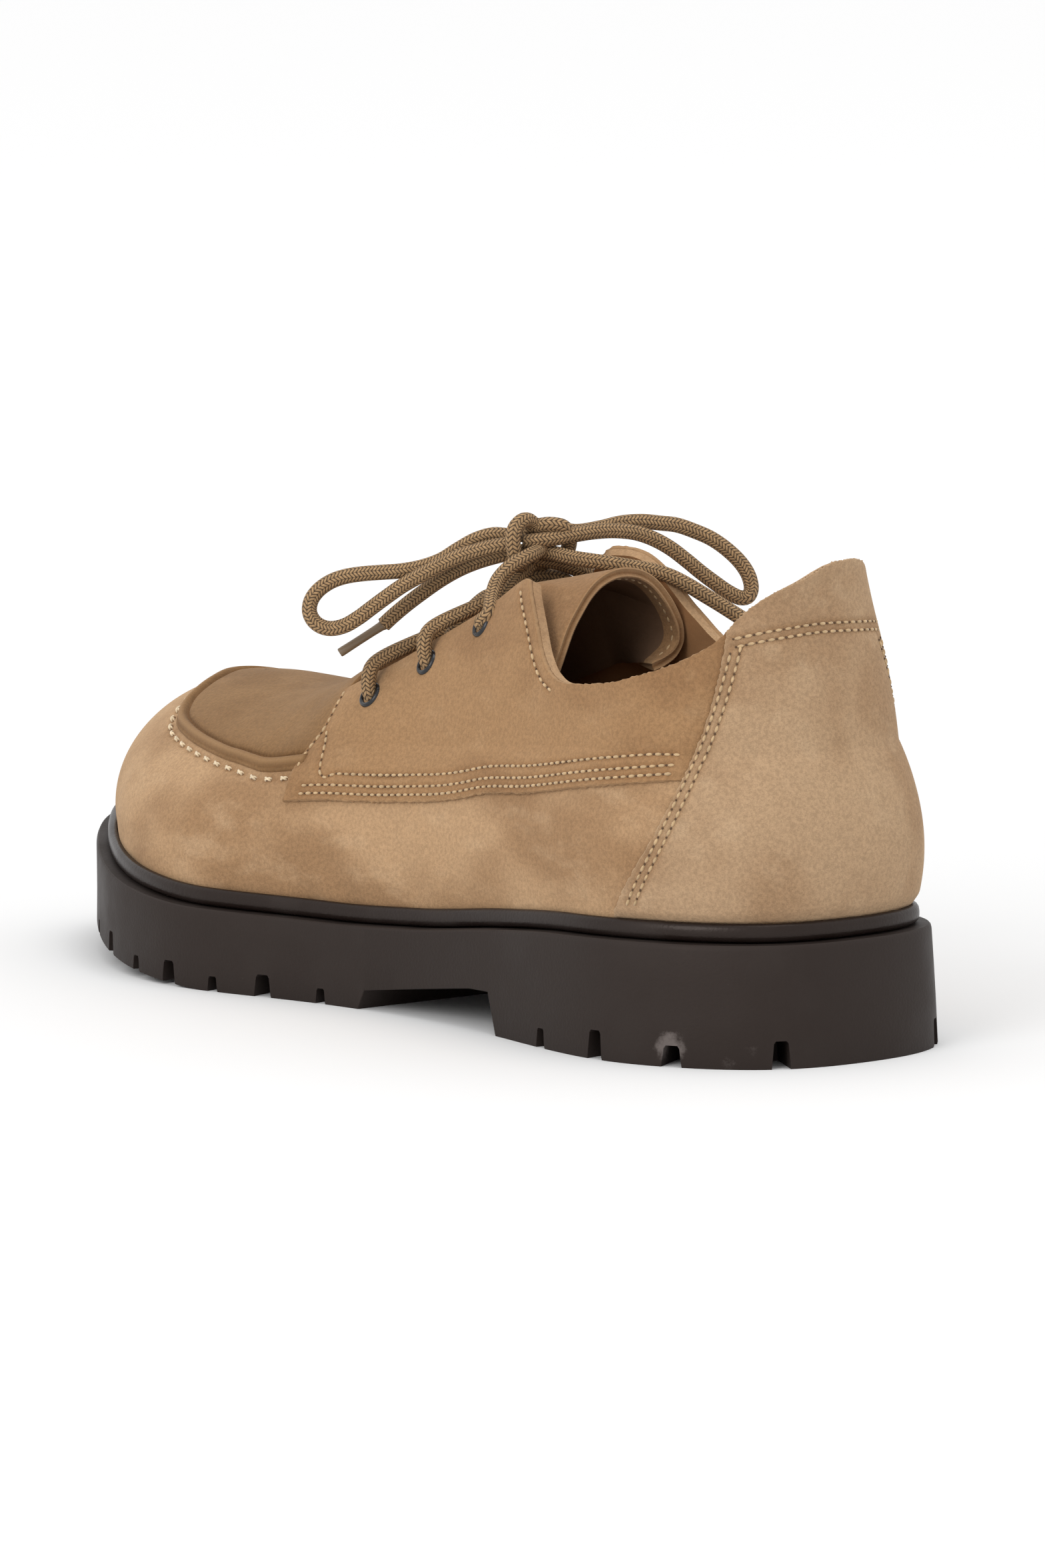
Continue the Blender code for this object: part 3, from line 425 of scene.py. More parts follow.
def new_material(name, color, roughness, metallic=0.0, sheen=0.0):
    made = bpy.data.materials.new(name)
    made.use_nodes = True
    shader = made.node_tree.nodes["Principled BSDF"]
    for label, value in (("Base Color", (*color, 1)), ("Roughness", roughness), ("Metallic", metallic),
                         ("Sheen Weight", sheen)):
        shader.inputs[label].default_value = value
    return made, made.node_tree, shader


def object_coordinates(tree):
    return tree.nodes.new("ShaderNodeTexCoord").outputs["Object"]


def bump(tree, shader, height, strength, distance):
    made = tree.nodes.new("ShaderNodeBump")
    made.inputs["Strength"].default_value = strength
    made.inputs["Distance"].default_value = distance
    link(tree, height, made.inputs["Height"])
    link(tree, made.outputs["Normal"], shader.inputs["Normal"])


def attribute(tree, name):
    made = tree.nodes.new("ShaderNodeAttribute")
    made.attribute_name = name
    return made.outputs["Fac"]


# Painted shade: this tint darkens the suede in the hollows of seams and of the hand-stitch dimples.
FURROW_SHADE_TINT = (0.72, 0.62, 0.52, 1)


def dimmed(color, factor):
    return tuple(channel * factor for channel in color) + (1,)


def suede(name, base, shade, pale):
    """Napped suede, with painted shade in the hollow of a seam, paler along a sheet's edges, and a painted
    highlight on the crest of the apron's bead.
    """
    made, tree, shader = new_material(name, base, 0.95, sheen=0.13)
    shader.inputs["Specular IOR Level"].default_value = 0.12
    shader.inputs["Sheen Roughness"].default_value = 0.55
    shader.inputs["Sheen Tint"].default_value = (1.0, 0.80, 0.58, 1)
    group = tree.nodes.new("ShaderNodeGroup")
    group.node_tree = nap
    link(tree, object_coordinates(tree), group.inputs["Vector"])
    for label, color in (("Base", base), ("Shade", shade), ("Pale", pale)):
        group.inputs[label].default_value = (*color, 1)
    # Painted shade in the hollow of a seam, read from the mesh's seam attribute.
    painted_shade = maths(tree, "MULTIPLY", attribute(tree, "seam_shade"), 0.55, True)
    seam_shade = blend_colors(tree, painted_shade, group.outputs["Color"], FURROW_SHADE_TINT, "MULTIPLY")
    # Paler along a sheet's raw edges, the suede's own look, and along the apron bead's crest, a painted
    # highlight.
    edge_and_crest_highlight_mask = maths(tree, "MULTIPLY", attribute(tree, "cut_and_crest_highlight"), 0.60, True)
    cut_and_crest_highlight = blend_colors(tree, edge_and_crest_highlight_mask, seam_shade, (*pale, 1))
    link(tree, cut_and_crest_highlight, shader.inputs["Base Color"])
    bump(tree, shader, group.outputs["Height"], 0.5, 0.0004)
    return made


upper_suede = suede("vamp_suede", (0.400, 0.252, 0.138), (0.285, 0.166, 0.084), (0.455, 0.304, 0.178))
quarter_suede = suede("quarter_suede", (0.305, 0.175, 0.084), (0.237, 0.129, 0.060), (0.363, 0.225, 0.119))
counter_suede = suede("counter_suede", (0.375, 0.248, 0.146), (0.305, 0.190, 0.106), (0.430, 0.297, 0.182))
apron_suede = suede("apron_suede", (0.211, 0.116, 0.050), (0.166, 0.087, 0.036), (0.260, 0.150, 0.070))


def leather(name, color):
    """Plain thin lining leather."""
    made, tree, shader = new_material(name, color, 0.85)
    shader.inputs["Specular IOR Level"].default_value = 0.2
    place = object_coordinates(tree)
    cloud = spread(tree, noise(tree, place, 60, 3), 0.35, 0.65)
    link(tree, blend_colors(tree, cloud, dimmed(color, 0.82), (*color, 1)), shader.inputs["Base Color"])
    bump(tree, shader, noise(tree, place, 900, 3), 0.3, 0.0003)
    return made


lining = leather("lining_leather", (0.150, 0.088, 0.052))
tan_lining = leather("tan_lining", (0.340, 0.175, 0.078))


DUST = (0.036, 0.029, 0.026, 1)
PALE_SPECK = (0.34, 0.30, 0.27, 1)
SCUFF_COLOR = (0.17, 0.145, 0.135, 1)


def rubber(name, color, roughness, specks, scuffs=()):
    """Dark rubber with a dusty bloom, a few pale specks and pale scuffs."""
    made, tree, shader = new_material(name, color, roughness)
    shader.inputs["Specular IOR Level"].default_value = 0.26
    shader.inputs["Specular Tint"].default_value = (1.0, 0.86, 0.79, 1)
    place = object_coordinates(tree)
    bloom = noise(tree, place, 60, 4)
    dusty = blend_colors(tree, spread(tree, bloom, 0.40, 0.75, 0.0, 0.30), (*color, 1), DUST)
    cells = tree.nodes.new("ShaderNodeTexVoronoi")
    cells.inputs["Scale"].default_value = 95
    link(tree, place, cells.inputs["Vector"])
    dots = spread(tree, cells.outputs["Distance"], 0.050, 0.020, 0.0, specks)
    rare = spread(tree, noise(tree, place, 33, 1), 0.56, 0.62)
    dotted = blend_colors(tree, maths(tree, "MULTIPLY", dots, rare), dusty, PALE_SPECK)
    ragged = maths(tree, "MULTIPLY", noise(tree, place, 420, 3, 0.7), 5 * MM)
    for spot, reach, strength in scuffs:
        away = tree.nodes.new("ShaderNodeVectorMath")
        away.operation = "DISTANCE"
        link(tree, place, away.inputs[0])
        away.inputs[1].default_value = spot
        torn = maths(tree, "ADD", away.outputs["Value"], ragged)
        mark = spread(tree, torn, reach + 3.5 * MM, reach + 1.0 * MM, 0.0, strength)
        dotted = blend_colors(tree, mark, dotted, SCUFF_COLOR)
    link(tree, dotted, shader.inputs["Base Color"])
    link(tree, spread(tree, bloom, 0.3, 0.8, roughness - 0.08, roughness + 0.1), shader.inputs["Roughness"])
    bump(tree, shader, noise(tree, place, 1300, 3), 0.25, 0.0003)
    return made


SCUFFS = (
    # place in metres from the heel tip, reach in millimetres, strength
    ((-0.0350, 0.0209, 0.0045), 3.4, 0.60), ((-0.0229, 0.0070, 0.0045), 0.9, 0.40),
    ((-0.0267, 0.0103, 0.0012), 1.2, 0.45),
)
scuff_spots = [(np.array(spot) - ORIGIN, reach * MM, strength) for spot, reach, strength in SCUFFS]
sole_rubber = rubber("sole_rubber", (0.0175, 0.0122, 0.0104), 0.60, 0.7, scuff_spots)
welt_rubber = rubber("welt_rubber", (0.0125, 0.0078, 0.0064), 0.36, 0.2)


def thread(name, color):
    made, tree, shader = new_material(name, color, 0.8, sheen=0.3)
    tint = spread(tree, noise(tree, object_coordinates(tree), 700, 2), 0.3, 0.7)
    link(tree, blend_colors(tree, tint, dimmed(color, 0.75), (*color, 1)), shader.inputs["Base Color"])
    return made


stitch_thread = thread("stitch_thread", (0.52, 0.355, 0.185))
hand_thread = thread("hand_thread", (0.78, 0.63, 0.42))
# Painted shade: dark beads set between the threads stand for the shadow inside each needle hole.
painted_hole_shade = new_material("needle_hole_shade", (0.095, 0.052, 0.026), 0.95)[0]
tip_film = new_material("tip_film", (0.155, 0.105, 0.060), 0.42)[0]
eyelet_metal, _, eyelet_shader = new_material("eyelet_metal", (0.012, 0.012, 0.014), 0.32, metallic=0.6)
eyelet_shader.inputs["Coat Weight"].default_value = 0.4

braid, braid_tree, braid_shader = new_material("lace_braid", (0.20, 0.14, 0.08), 0.9)
COLUMNS_ROUND = 10
CHEVRON_PITCH = 0.90 * MM
# The dark braid colour is painted shade in the gaps between the yarns.
BRAID_CREVICE_SHADE = (0.034, 0.019, 0.008, 1)
BRAID_LIGHT = (0.355, 0.220, 0.106, 1)


def braid_maths(operation, first, second=0.0):
    return maths(braid_tree, operation, first, second)


weave_map = braid_tree.nodes.new("ShaderNodeUVMap")
weave_map.uv_map = "weave"
weave_axes = braid_tree.nodes.new("ShaderNodeSeparateXYZ")
link(braid_tree, weave_map.outputs["UV"], weave_axes.inputs[0])
column = braid_maths("MULTIPLY", weave_axes.outputs["X"], COLUMNS_ROUND)
across = braid_maths("FRACT", column)
odd = braid_maths("MODULO", braid_maths("FLOOR", column), 2.0)
lean = braid_maths("SUBTRACT", braid_maths("MULTIPLY", odd, 2.0), 1.0)
slant = braid_maths("MULTIPLY", braid_maths("MULTIPLY", lean, braid_maths("SUBTRACT", across, 0.5)), 0.95)
phase = braid_maths("ADD", weave_axes.outputs["Y"], slant)
ridge = braid_maths("ABSOLUTE", braid_maths("SINE", braid_maths("MULTIPLY", phase, pi)))
middle = braid_maths("SINE", braid_maths("MULTIPLY", across, pi))
yarn = braid_maths("MULTIPLY", braid_maths("POWER", ridge, 0.9), braid_maths("POWER", middle, 0.30))
# The weave pattern is the braid's own; its dark gaps and yarn sides are painted shade.
painted_shade = blend_colors(braid_tree, spread(braid_tree, yarn, 0.10, 0.80), BRAID_CREVICE_SHADE, BRAID_LIGHT)
fleck = spread(braid_tree, noise(braid_tree, object_coordinates(braid_tree), 1500, 2), 0.3, 0.7, 0.80, 1.15)
link(braid_tree, scale_color(braid_tree, painted_shade, fleck), braid_shader.inputs["Base Color"])
bump(braid_tree, braid_shader, yarn, 0.7, 0.0003)
print("materials:", len(bpy.data.materials))

# %% [markdown]
# ## Making a sheet of suede
# A cut piece of suede is a grid on the last: places round it and shares up it, an outer face, an
# inner face and a rounded rim. Grids are fine enough, under a millimetre, to hold the furrow of a
# seam and the dent of a crease in the mesh itself, so that they show in the shape and the shadow.
# The suede in the furrow of a seam is also darkened with painted shade.

# %% Mesh helpers


def mesh_object(name, points, faces, materials, angle=40, attributes=None, slots=None):
    mesh = bpy.data.meshes.new(name)
    mesh.from_pydata([tuple(p) for p in points], [], [tuple(f) for f in faces])
    for finish in materials:
        mesh.materials.append(finish)
    mesh.shade_smooth()
    if angle:
        mesh.set_sharp_from_angle(angle=radians(angle))
    if slots is not None:
        mesh.polygons.foreach_set("material_index", np.asarray(slots, dtype=np.int32))
    for label, values in (attributes or {}).items():
        made = mesh.attributes.new(label, "FLOAT", "POINT")
        made.data.foreach_set("value", np.asarray(values, dtype=np.float32))
    made = bpy.data.objects.new(name, mesh)
    bpy.context.scene.collection.objects.link(made)
    return made


def stand_for(made, slot, *nodes):
    """The piece replaces its solids and rides on the shoe's one body."""
    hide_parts(*nodes)
    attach(made, "root")


def grid_faces(rows, columns):
    """Quads of a grid stored row by row."""
    i, j = np.meshgrid(np.arange(rows - 1), np.arange(columns - 1), indexing="ij")
    a = i * columns + j
    b = a + columns
    return np.stack([a, b, b + 1, a + 1], axis=-1).reshape(-1, 4).tolist()


def ring_faces(turns, rows, first=0):
    """Quads of a closed profile that is turned all the way round."""
    i, j = np.meshgrid(np.arange(turns), np.arange(rows), indexing="ij")
    here, there, k = first + i * rows, first + (i + 1) % turns * rows, (j + 1) % rows
    return np.stack([here + j, here + k, there + k, there + j], axis=-1).reshape(-1, 4).tolist()


def tube_faces(rows, sides, first=0):
    """Quads of a tube whose circles are stored one after the other, and its two end caps."""
    i, j = np.meshgrid(np.arange(rows - 1), np.arange(sides), indexing="ij")
    here, there, k = first + i * sides, first + (i + 1) * sides, (j + 1) % sides
    faces = np.stack([here + j, here + k, there + k, there + j], axis=-1).reshape(-1, 4).tolist()
    end = list(range(first, first + sides))
    return faces + [end[::-1], [spot + (rows - 1) * sides for spot in end]]


def circle(centre, one, two, radius, sides):
    """Points round a centre, in the plane of two unit vectors."""
    turn = np.arange(sides) * 2 * pi / sides
    return list(centre + (np.outer(np.cos(turn), one) + np.outer(np.sin(turn), two)) * radius)


def back_of(faces, shift):
    """The same faces on a sheet's other side, whose points are numbered shift higher."""
    return [tuple(i + shift for i in reversed(face)) for face in faces]


def rims_of(faces, shift):
    """Quads that close a sheet's open edges against its other side."""
    walked = dict.fromkeys((a, b) for face in faces for a, b in zip(face, face[1:] + face[:1]))
    return [(b, a, a + shift, b + shift) for a, b in walked if (b, a) not in walked]


def spaced(count, first, total):
    """Shares from 0 to 1 with a close first and last step."""
    return np.r_[0, np.linspace(first / total, 1 - first / total, count), 1]


def distance_to(points, line):
    """Distance from each point to a polyline, in blocks."""
    line = np.asarray(line)
    a, b = line[:-1], line[1:]
    ab = b - a
    square = np.maximum((ab ** 2).sum(1), 1e-18)
    out = np.empty(len(points))
    for start in range(0, len(points), 4000):
        p = points[start:start + 4000, None, :]
        t = np.clip(((p - a) * ab).sum(-1) / square, 0, 1)
        out[start:start + 4000] = np.sqrt((((a + ab * t[..., None]) - p) ** 2).sum(-1)).min(1)
    return out


seams = []
creases = []
RAW_BEVEL = 0.3 * MM
FRAY = 0.11 * MM


def settle(points, normals):
    """Pushes points in at seams and creases. Returns the points and how near each lies to a seam, a mask for
    painted shade in the seam's hollow.
    """
    seam_shade = np.zeros(len(points))
    for number, (line, width, depth) in enumerate(seams + creases):
        low, high = line.min(0) - 3 * width, line.max(0) + 3 * width
        near = np.where(((points > low) & (points < high)).all(1))[0]
        if len(near):
            pull = np.exp(-(distance_to(points[near], line) / width) ** 2)
            points[near] -= normals[near] * (pull * depth)[:, None]
            if number < len(seams):
                seam_shade[near] = np.maximum(seam_shade[near], pull)
    return points, seam_shade


def sheet_on_last(name, w, v, lift_out, lift_in, finish, cut_sides=(1, 1, 1, 1)):
    """A sheet of suede: w and v are grids. cut_sides says which of its four edges are bare edges, which show
    paler.
    """
    normals = outward(w, v).reshape(-1, 3)
    outer, seam_shade = settle(shell(w, v, lift_out).reshape(-1, 3), normals)
    inner, _ = settle(shell(w, v, lift_in).reshape(-1, 3), normals)
    cut_and_crest_highlight = np.zeros(w.shape)
    borders = ((0, slice(None)), (-1, slice(None)), (slice(None), 0), (slice(None), -1))
    for border, used in zip(borders, cut_sides):
        if used:
            cut_and_crest_highlight[border] = 1
    cut_and_crest_highlight = cut_and_crest_highlight.reshape(-1)
    bevel = (cut_and_crest_highlight * min(RAW_BEVEL, 0.3 * float(np.max(lift_out - lift_in))))[:, None]
    frayed = np.random.default_rng(7).normal(0, FRAY, outer.shape) * cut_and_crest_highlight[:, None]
    points = np.concatenate([outer - normals * bevel + frayed, inner + normals * bevel + frayed])
    faces = grid_faces(*w.shape)
    everything = faces + back_of(faces, w.size) + rims_of(faces, w.size)
    made = mesh_object(name, points, everything, [finish], angle=50,
                       attributes={"seam_shade": np.r_[seam_shade, seam_shade * 0], "cut_and_crest_highlight": np.r_[cut_and_crest_highlight, cut_and_crest_highlight]})
    turn_out(made)
    return made


def turn_out(made):
    """Turns a closed mesh's faces outward."""
    body = bmesh.new()
    body.from_mesh(made.data)
    bmesh.ops.recalc_face_normals(body, faces=body.faces)
    body.to_mesh(made.data)
    body.free()


def on_last(rows, lift, step=0.8 * MM, w_side=1):
    """Even points on the last through chosen (place, share) pairs."""
    rows = np.array(rows, float)
    t = np.linspace(0, len(rows) - 1, 40 * len(rows))
    w = np.interp(t, np.arange(len(rows)), rows[:, 0])
    v = np.interp(t, np.arange(len(rows)), rows[:, 1])
    return walk(shell(w if w_side > 0 else 2 - w, v, lift), step)


print("helpers ready")

# %% [markdown]
# ## Where the seams and creases run
# Rows of stitches pull the suede down into a furrow. Each row is a line on the last, a set
# distance from the edge that it follows. The creases were placed where the foot bends and
# where the suede sags over the welt: wide shallow dents that catch a soft shadow.

# %% Seam lines
OVERLAY_TOP = 1.6 * MM


def metres_per_share(w, v):
    """Length on the last of one whole share at a place."""
    return np.linalg.norm(last(w, v + 0.01) - last(w, v - 0.01), axis=-1) / 0.02


def metres_per_place(w, v):
    return np.linalg.norm(last(w + 0.005, v) - last(w - 0.005, v), axis=-1) / 0.01


def quarter_front(v):
    """Place of the quarter's front edge at a height."""
    return table(((0.20, 0.5700), (0.36, 0.5745), (0.50, 0.5690), (0.64, 0.5740)), v)


def lower_row(offset, start, end, side, count=60):
    """A row a distance above the quarter's lower edge."""
    w = np.linspace(start, end, count)
    v = table(QUARTER_EDGE, w)
    v = v + offset / metres_per_share(w if side > 0 else 2 - w, v)
    return [(a, b) for a, b in zip(w, v)]


def seam_rows(side):
    """Every stitched row on one side: name, points as (place, share)."""
    w_of = (lambda w: w) if side > 0 else (lambda w: 2 - w)
    rows = {}
    rear = 0.136
    rows["low_1"] = lower_row(1.6 * MM, rear, 0.556, side)
    rows["low_2"] = lower_row(3.6 * MM, rear - 0.002, 0.556, side)
    inner = lower_row(6.4 * MM, rear - 0.006, 0.528, side)
    rows["low_3"] = inner + [(0.538, 0.304), (0.5445, 0.325), (0.548, 0.360), (0.5535, 0.410),
                             (0.5605, 0.452)]
    front_out = []
    for v in np.linspace(0.37, 0.615, 30):
        w = quarter_front(v)
        front_out.append((float(w - 1.3 * MM / metres_per_place(w_of(w), v)), float(v)))
    rows["front"] = front_out
    for label, offset in (("counter_1", 1.5 * MM), ("counter_2", 3.5 * MM)):
        line = []
        for v in np.linspace(0.045, 0.372, 40):
            w = float(table(COUNTER_SEAM, v))
            line.append((float(w - offset / metres_per_place(w_of(w), v)), float(v)))
        rows[label] = line
    back = []
    low, high, slant = (0.272, 0.350, 2.6 * MM) if side > 0 else (0.285, 0.360, 3.4 * MM)
    for w in np.linspace(low, high, 26):
        v = float(topline(w_of(w)))
        ahead, down = 0.8 * slant / metres_per_place(w_of(w), v), 0.75 * slant / metres_per_share(w_of(w), v)
        back.append((float(w + ahead), float(v - down)))
    rows["back"] = back
    return rows


tab_rows = {}
for label, drop in (("tab_1", 0.0), ("tab_2", 1.9 * MM)):
    line = []
    for w in np.linspace(-0.085, 0.085, 60):
        v = float(table(((-0.09, 0.392), (-0.06, 0.397), (0.0, 0.402), (0.045, 0.397), (0.09, 0.384)), w))
        line.append((float(w), v - drop / float(metres_per_share(w % 2.0, v))))
    tab_rows[label] = line

rows_lateral = seam_rows(1)
rows_medial = seam_rows(-1)
stitch_lines = {}
for side, rows in ((1, rows_lateral), (-1, rows_medial)):
    for label, line in rows.items():
        stitch_lines[f"{label} {side}"] = on_last(line, OVERLAY_TOP, w_side=side)
for label, line in tab_rows.items():
    stitch_lines[label] = on_last(line, OVERLAY_TOP)
# Each seam also darkens the suede near it, as painted shade in its hollow.
for line in stitch_lines.values():
    seams.append((line, 0.9 * MM, 0.28 * MM))
print("stitched rows:", len(stitch_lines), "with points:", sum(len(line) for line in stitch_lines.values()))

# %% The hand-sewn row and its dimples
HAND_PITCH = 5.6 * MM
HAND_DROP = 1.9 * MM
apron_half = np.linspace(0.566, 1, 150)
apron_places = np.r_[apron_half, 2 - apron_half[-2::-1]]
apron_edge = by_side(apron_places, APRON_EDGE_OUTER, APRON_EDGE_INNER)
apron_seam = shell(apron_places, apron_edge, 0.3 * MM)
hand_v = apron_edge - HAND_DROP / metres_per_share(apron_places, apron_edge)
hand_line = shell(apron_places, hand_v, 0.3 * MM)
hand_travel = travel(hand_line)
hand_stops = np.arange(5.5 * MM, hand_travel[-1] - 4 * MM, HAND_PITCH)


def along_hand_row(t, lift):
    """Point a distance along the hand-sewn row, off the last."""
    w = np.interp(t, hand_travel, apron_places)
    v = np.interp(t, hand_travel, hand_v)
    return shell(w, v, lift)


# The dimples count as seams, so the suede in them is darkened as painted shade too.
for t in hand_stops:
    seams.append((along_hand_row(t + np.linspace(-2.1, 1.3, 6) * MM, 0.3 * MM), 0.75 * MM, 0.55 * MM))
print("hand stitches:", len(hand_stops))

# %% Creases
CREASES = (
    # from (place, share) to (place, share), width and depth in millimetres
    ((0.500, 0.030), (0.530, 0.110), 3.6, 0.55), ((0.545, 0.020), (0.560, 0.090), 4.2, 0.60),
    ((0.620, 0.040), (0.600, 0.170), 5.0, 0.45), ((0.680, 0.120), (0.650, 0.260), 5.5, 0.40),
    ((0.430, 0.060), (0.455, 0.150), 4.0, 0.40), ((0.360, 0.030), (0.400, 0.120), 5.0, 0.35),
    ((0.250, 0.040), (0.300, 0.140), 5.5, 0.35), ((0.470, 0.300), (0.440, 0.420), 6.0, 0.40),
    ((0.340, 0.300), (0.300, 0.300), 6.0, 0.40), ((0.250, 0.240), (0.220, 0.300), 6.0, 0.35),
    ((0.760, 0.060), (0.740, 0.220), 6.0, 0.35), ((0.850, 0.080), (0.840, 0.260), 6.5, 0.30),
    ((0.060, 0.050), (0.030, 0.180), 6.5, 0.30), ((0.110, 0.100), (0.080, 0.220), 6.0, 0.30),
)
for start, end, width, depth in CREASES:
    for side in (1, -1):
        creases.append((on_last((start, end), 0.0, w_side=side), width * MM, depth * MM))
print("creases:", len(creases))

# %% [markdown]
# ## Outsole
# A moulded rubber unit: a heel block, an arch that clears the floor, a forefoot that turns up at
# the toe, and lugs whose ends show as notches in the side. The slab is a closed grid whose
# underside follows the arch and the toe, and the notches are cut with a Boolean.

# %% Outsole slab
ARCH = ((0.285, 0.0), (0.290, 0.0), (0.302, 1.0), (0.330, 0.98), (0.470, 0.47), (0.478, 0.0), (0.485, 0.0))
ARCH_DEPTH = 0.0100
HEEL_FLARE = 0.0018
HEEL_NOTCHES = ((0.218, 0.0125, 0.92), (0.144, 0.0165, 1.36), (0.074, 0.0185, 1.00))
FORE_NOTCHES = (
    (0.521, 0.011, 0.74), (0.581, 0.018, 1.08), (0.633, 0.011, 0.74), (0.684, 0.017, 1.08),
    (0.737, 0.012, 0.74),
    (0.800, 0.017, 1.08), (0.860, 0.012, 0.74),
)
BACK_NOTCHES = (-0.161, 0.290)
BACK_NOTCH_WIDTH = 0.0165
TREAD_CHANNELS = (0.553, 0.607, 0.659, 0.711, 0.768, 0.110, 0.190)
CHANNEL_WIDTH = 4.4 * MM
CHANNEL_DEPTH = 4 * MM
BELOW_FLOOR = -10 * MM
NOTCH_DEPTH = 0.0050
NOTCH_REACH = 0.0110


def tread_height(y):
    """Height of the sole's underside at y, without the notches."""
    share = y / SOLE_LENGTH
    arch = np.interp(share, [row[0] for row in ARCH], [row[1] for row in ARCH]) * ARCH_DEPTH
    return np.where(share > TOE_RISE[0][0], toe_rise(y), arch)


def half_places(extra):
    """Places from heel to toe, close together, with extra ones at steps of the underside."""
    even = np.linspace(0, 1, 170)
    y_of = edge_point(even, 0)[1]
    added = [np.interp(share * SOLE_LENGTH, y_of, even) for share in extra]
    return np.unique(np.round(np.r_[even, added], 6))


half = half_places([row[0] for row in ARCH])
round_places = np.r_[half, 2 - half[-2:0:-1]]
count = len(round_places)
edge_y = edge_point(round_places, 0)[1]
top_z = sole_top(edge_y)
low_z = tread_height(edge_y)
flare = HEEL_FLARE * np.clip(1 - edge_y / (0.3 * SOLE_LENGTH), 0, 1)
WALL_ROWS = (
    # inset in millimetres, share of the height, share of the heel's flare
    (0.6, 1.0, 0.0), (0.25, 0.986, 0.0), (0.0, 0.955, 0.0), (0.05, 0.70, 0.35), (0.08, 0.40, 0.7),
    (0.0, 0.02, 1.0),
    (0.15, 0.0, 1.0),
)
rings = []
for inset, share, flared in WALL_ROWS:
    x, y, _ = edge_point(round_places, inset * MM - flare * flared)
    rings.append(np.stack([x, y, low_z + (top_z - low_z) * share], axis=1))
sole_points = np.concatenate(rings) - ORIGIN
sole_faces = []
for r in range(len(rings) - 1):
    for i in range(count):
        j = (i + 1) % count
        sole_faces.append((r * count + i, (r + 1) * count + i, (r + 1) * count + j, r * count + j))
toe = len(half) - 1
for offset, flip in ((0, True), ((len(rings) - 1) * count, False)):
    across = [(offset, offset + 1, offset + count - 1)]
    for i in range(1, toe - 1):
        across.append((offset + i, offset + i + 1, offset + count - i - 1, offset + count - i))
    across.append((offset + toe - 1, offset + toe, offset + toe + 1))
    sole_faces += [tuple(reversed(f)) if flip else f for f in across]
outsole = mesh_object("outsole_rubber", sole_points, sole_faces, [sole_rubber], angle=None)
turn_out(outsole)
print("outsole slab:", len(sole_points), "points")

# %% Notches in the edge and channels underneath
cut_points = []
cut_faces = []


def notch_cutter(place, way, width, top, reach, height):
    """A slot that narrows upwards and runs in from the edge."""
    side = np.array([-way[1], way[0]])
    half_arch = [(0.5 * width, BELOW_FLOOR), (0.5 * width, top - height), (0.38 * width, top - 0.14 * width),
                 (0.28 * width, top)]
    arch = [(-a, z) for a, z in half_arch] + half_arch[::-1]
    first = len(cut_points)
    for depth in (-0.004, reach):
        for a, z in arch:
            xy = np.array(place) + np.array(way) * depth + side * a
            cut_points.append((xy[0] - ORIGIN[0], xy[1] - ORIGIN[1], z))
    n = len(arch)
    for k in range(n):
        cut_faces.append((first + k, first + (k + 1) % n, first + n + (k + 1) % n, first + n + k))
    cut_faces.append(tuple(first + k for k in range(n)))
    cut_faces.append(tuple(first + n + k for k in reversed(range(n))))


for share, width, depth in HEEL_NOTCHES + FORE_NOTCHES:
    for ids in (outer_ids, inner_ids):
        k = ids[np.abs(edge[ids, 1] - share * SOLE_LENGTH).argmin()]
        top = float(tread_height(edge[k, 1])) + depth * NOTCH_DEPTH
        notch_cutter(edge[k], inward[k], width * SOLE_LENGTH, top, NOTCH_REACH, depth * NOTCH_DEPTH)
heel_ids = np.where(edge[:, 1] < 0.08 * SOLE_LENGTH)[0]
for share in BACK_NOTCHES:
    k = heel_ids[np.abs(edge[heel_ids, 0] - share * BALL_WIDTH).argmin()]
    height = 1.3 * NOTCH_DEPTH
    notch_cutter(edge[k], inward[k], BACK_NOTCH_WIDTH * SOLE_LENGTH, height, NOTCH_REACH, height)
for share in TREAD_CHANNELS:
    y = share * SOLE_LENGTH
    half_width = (0.25 if share > 0.3 else 0.18) * BALL_WIDTH
    start = (CHANNEL_DEPTH - half_width, y)
    top = float(tread_height(y)) + CHANNEL_DEPTH
    notch_cutter(start, (1.0, 0.0), CHANNEL_WIDTH, top, 2 * half_width - CHANNEL_DEPTH, CHANNEL_DEPTH)
cutter = mesh_object("notch_cutter", cut_points, cut_faces, [sole_rubber], angle=None)
turn_out(cutter)
step = outsole.modifiers.new("notches", "BOOLEAN")
step.operation = "DIFFERENCE"
step.solver = "EXACT"
step.object = cutter
evaluated = outsole.evaluated_get(bpy.context.evaluated_depsgraph_get())
carved = bpy.data.meshes.new_from_object(evaluated)
outsole.modifiers.clear()
outsole.data = carved
bpy.data.objects.remove(cutter, do_unlink=True)
carved.shade_smooth()
carved.set_sharp_from_angle(angle=radians(28))
stand_for(outsole, "sole_rubber", "outsole")
print("outsole:", len(carved.polygons), "faces")

# %% [markdown]
# ## Welt
# A smooth rubber rand lies on the outsole's edge and covers the foot of the upper. It is a ring
# swept round the shoe, with a round nose and a sloping top that ends against the suede.

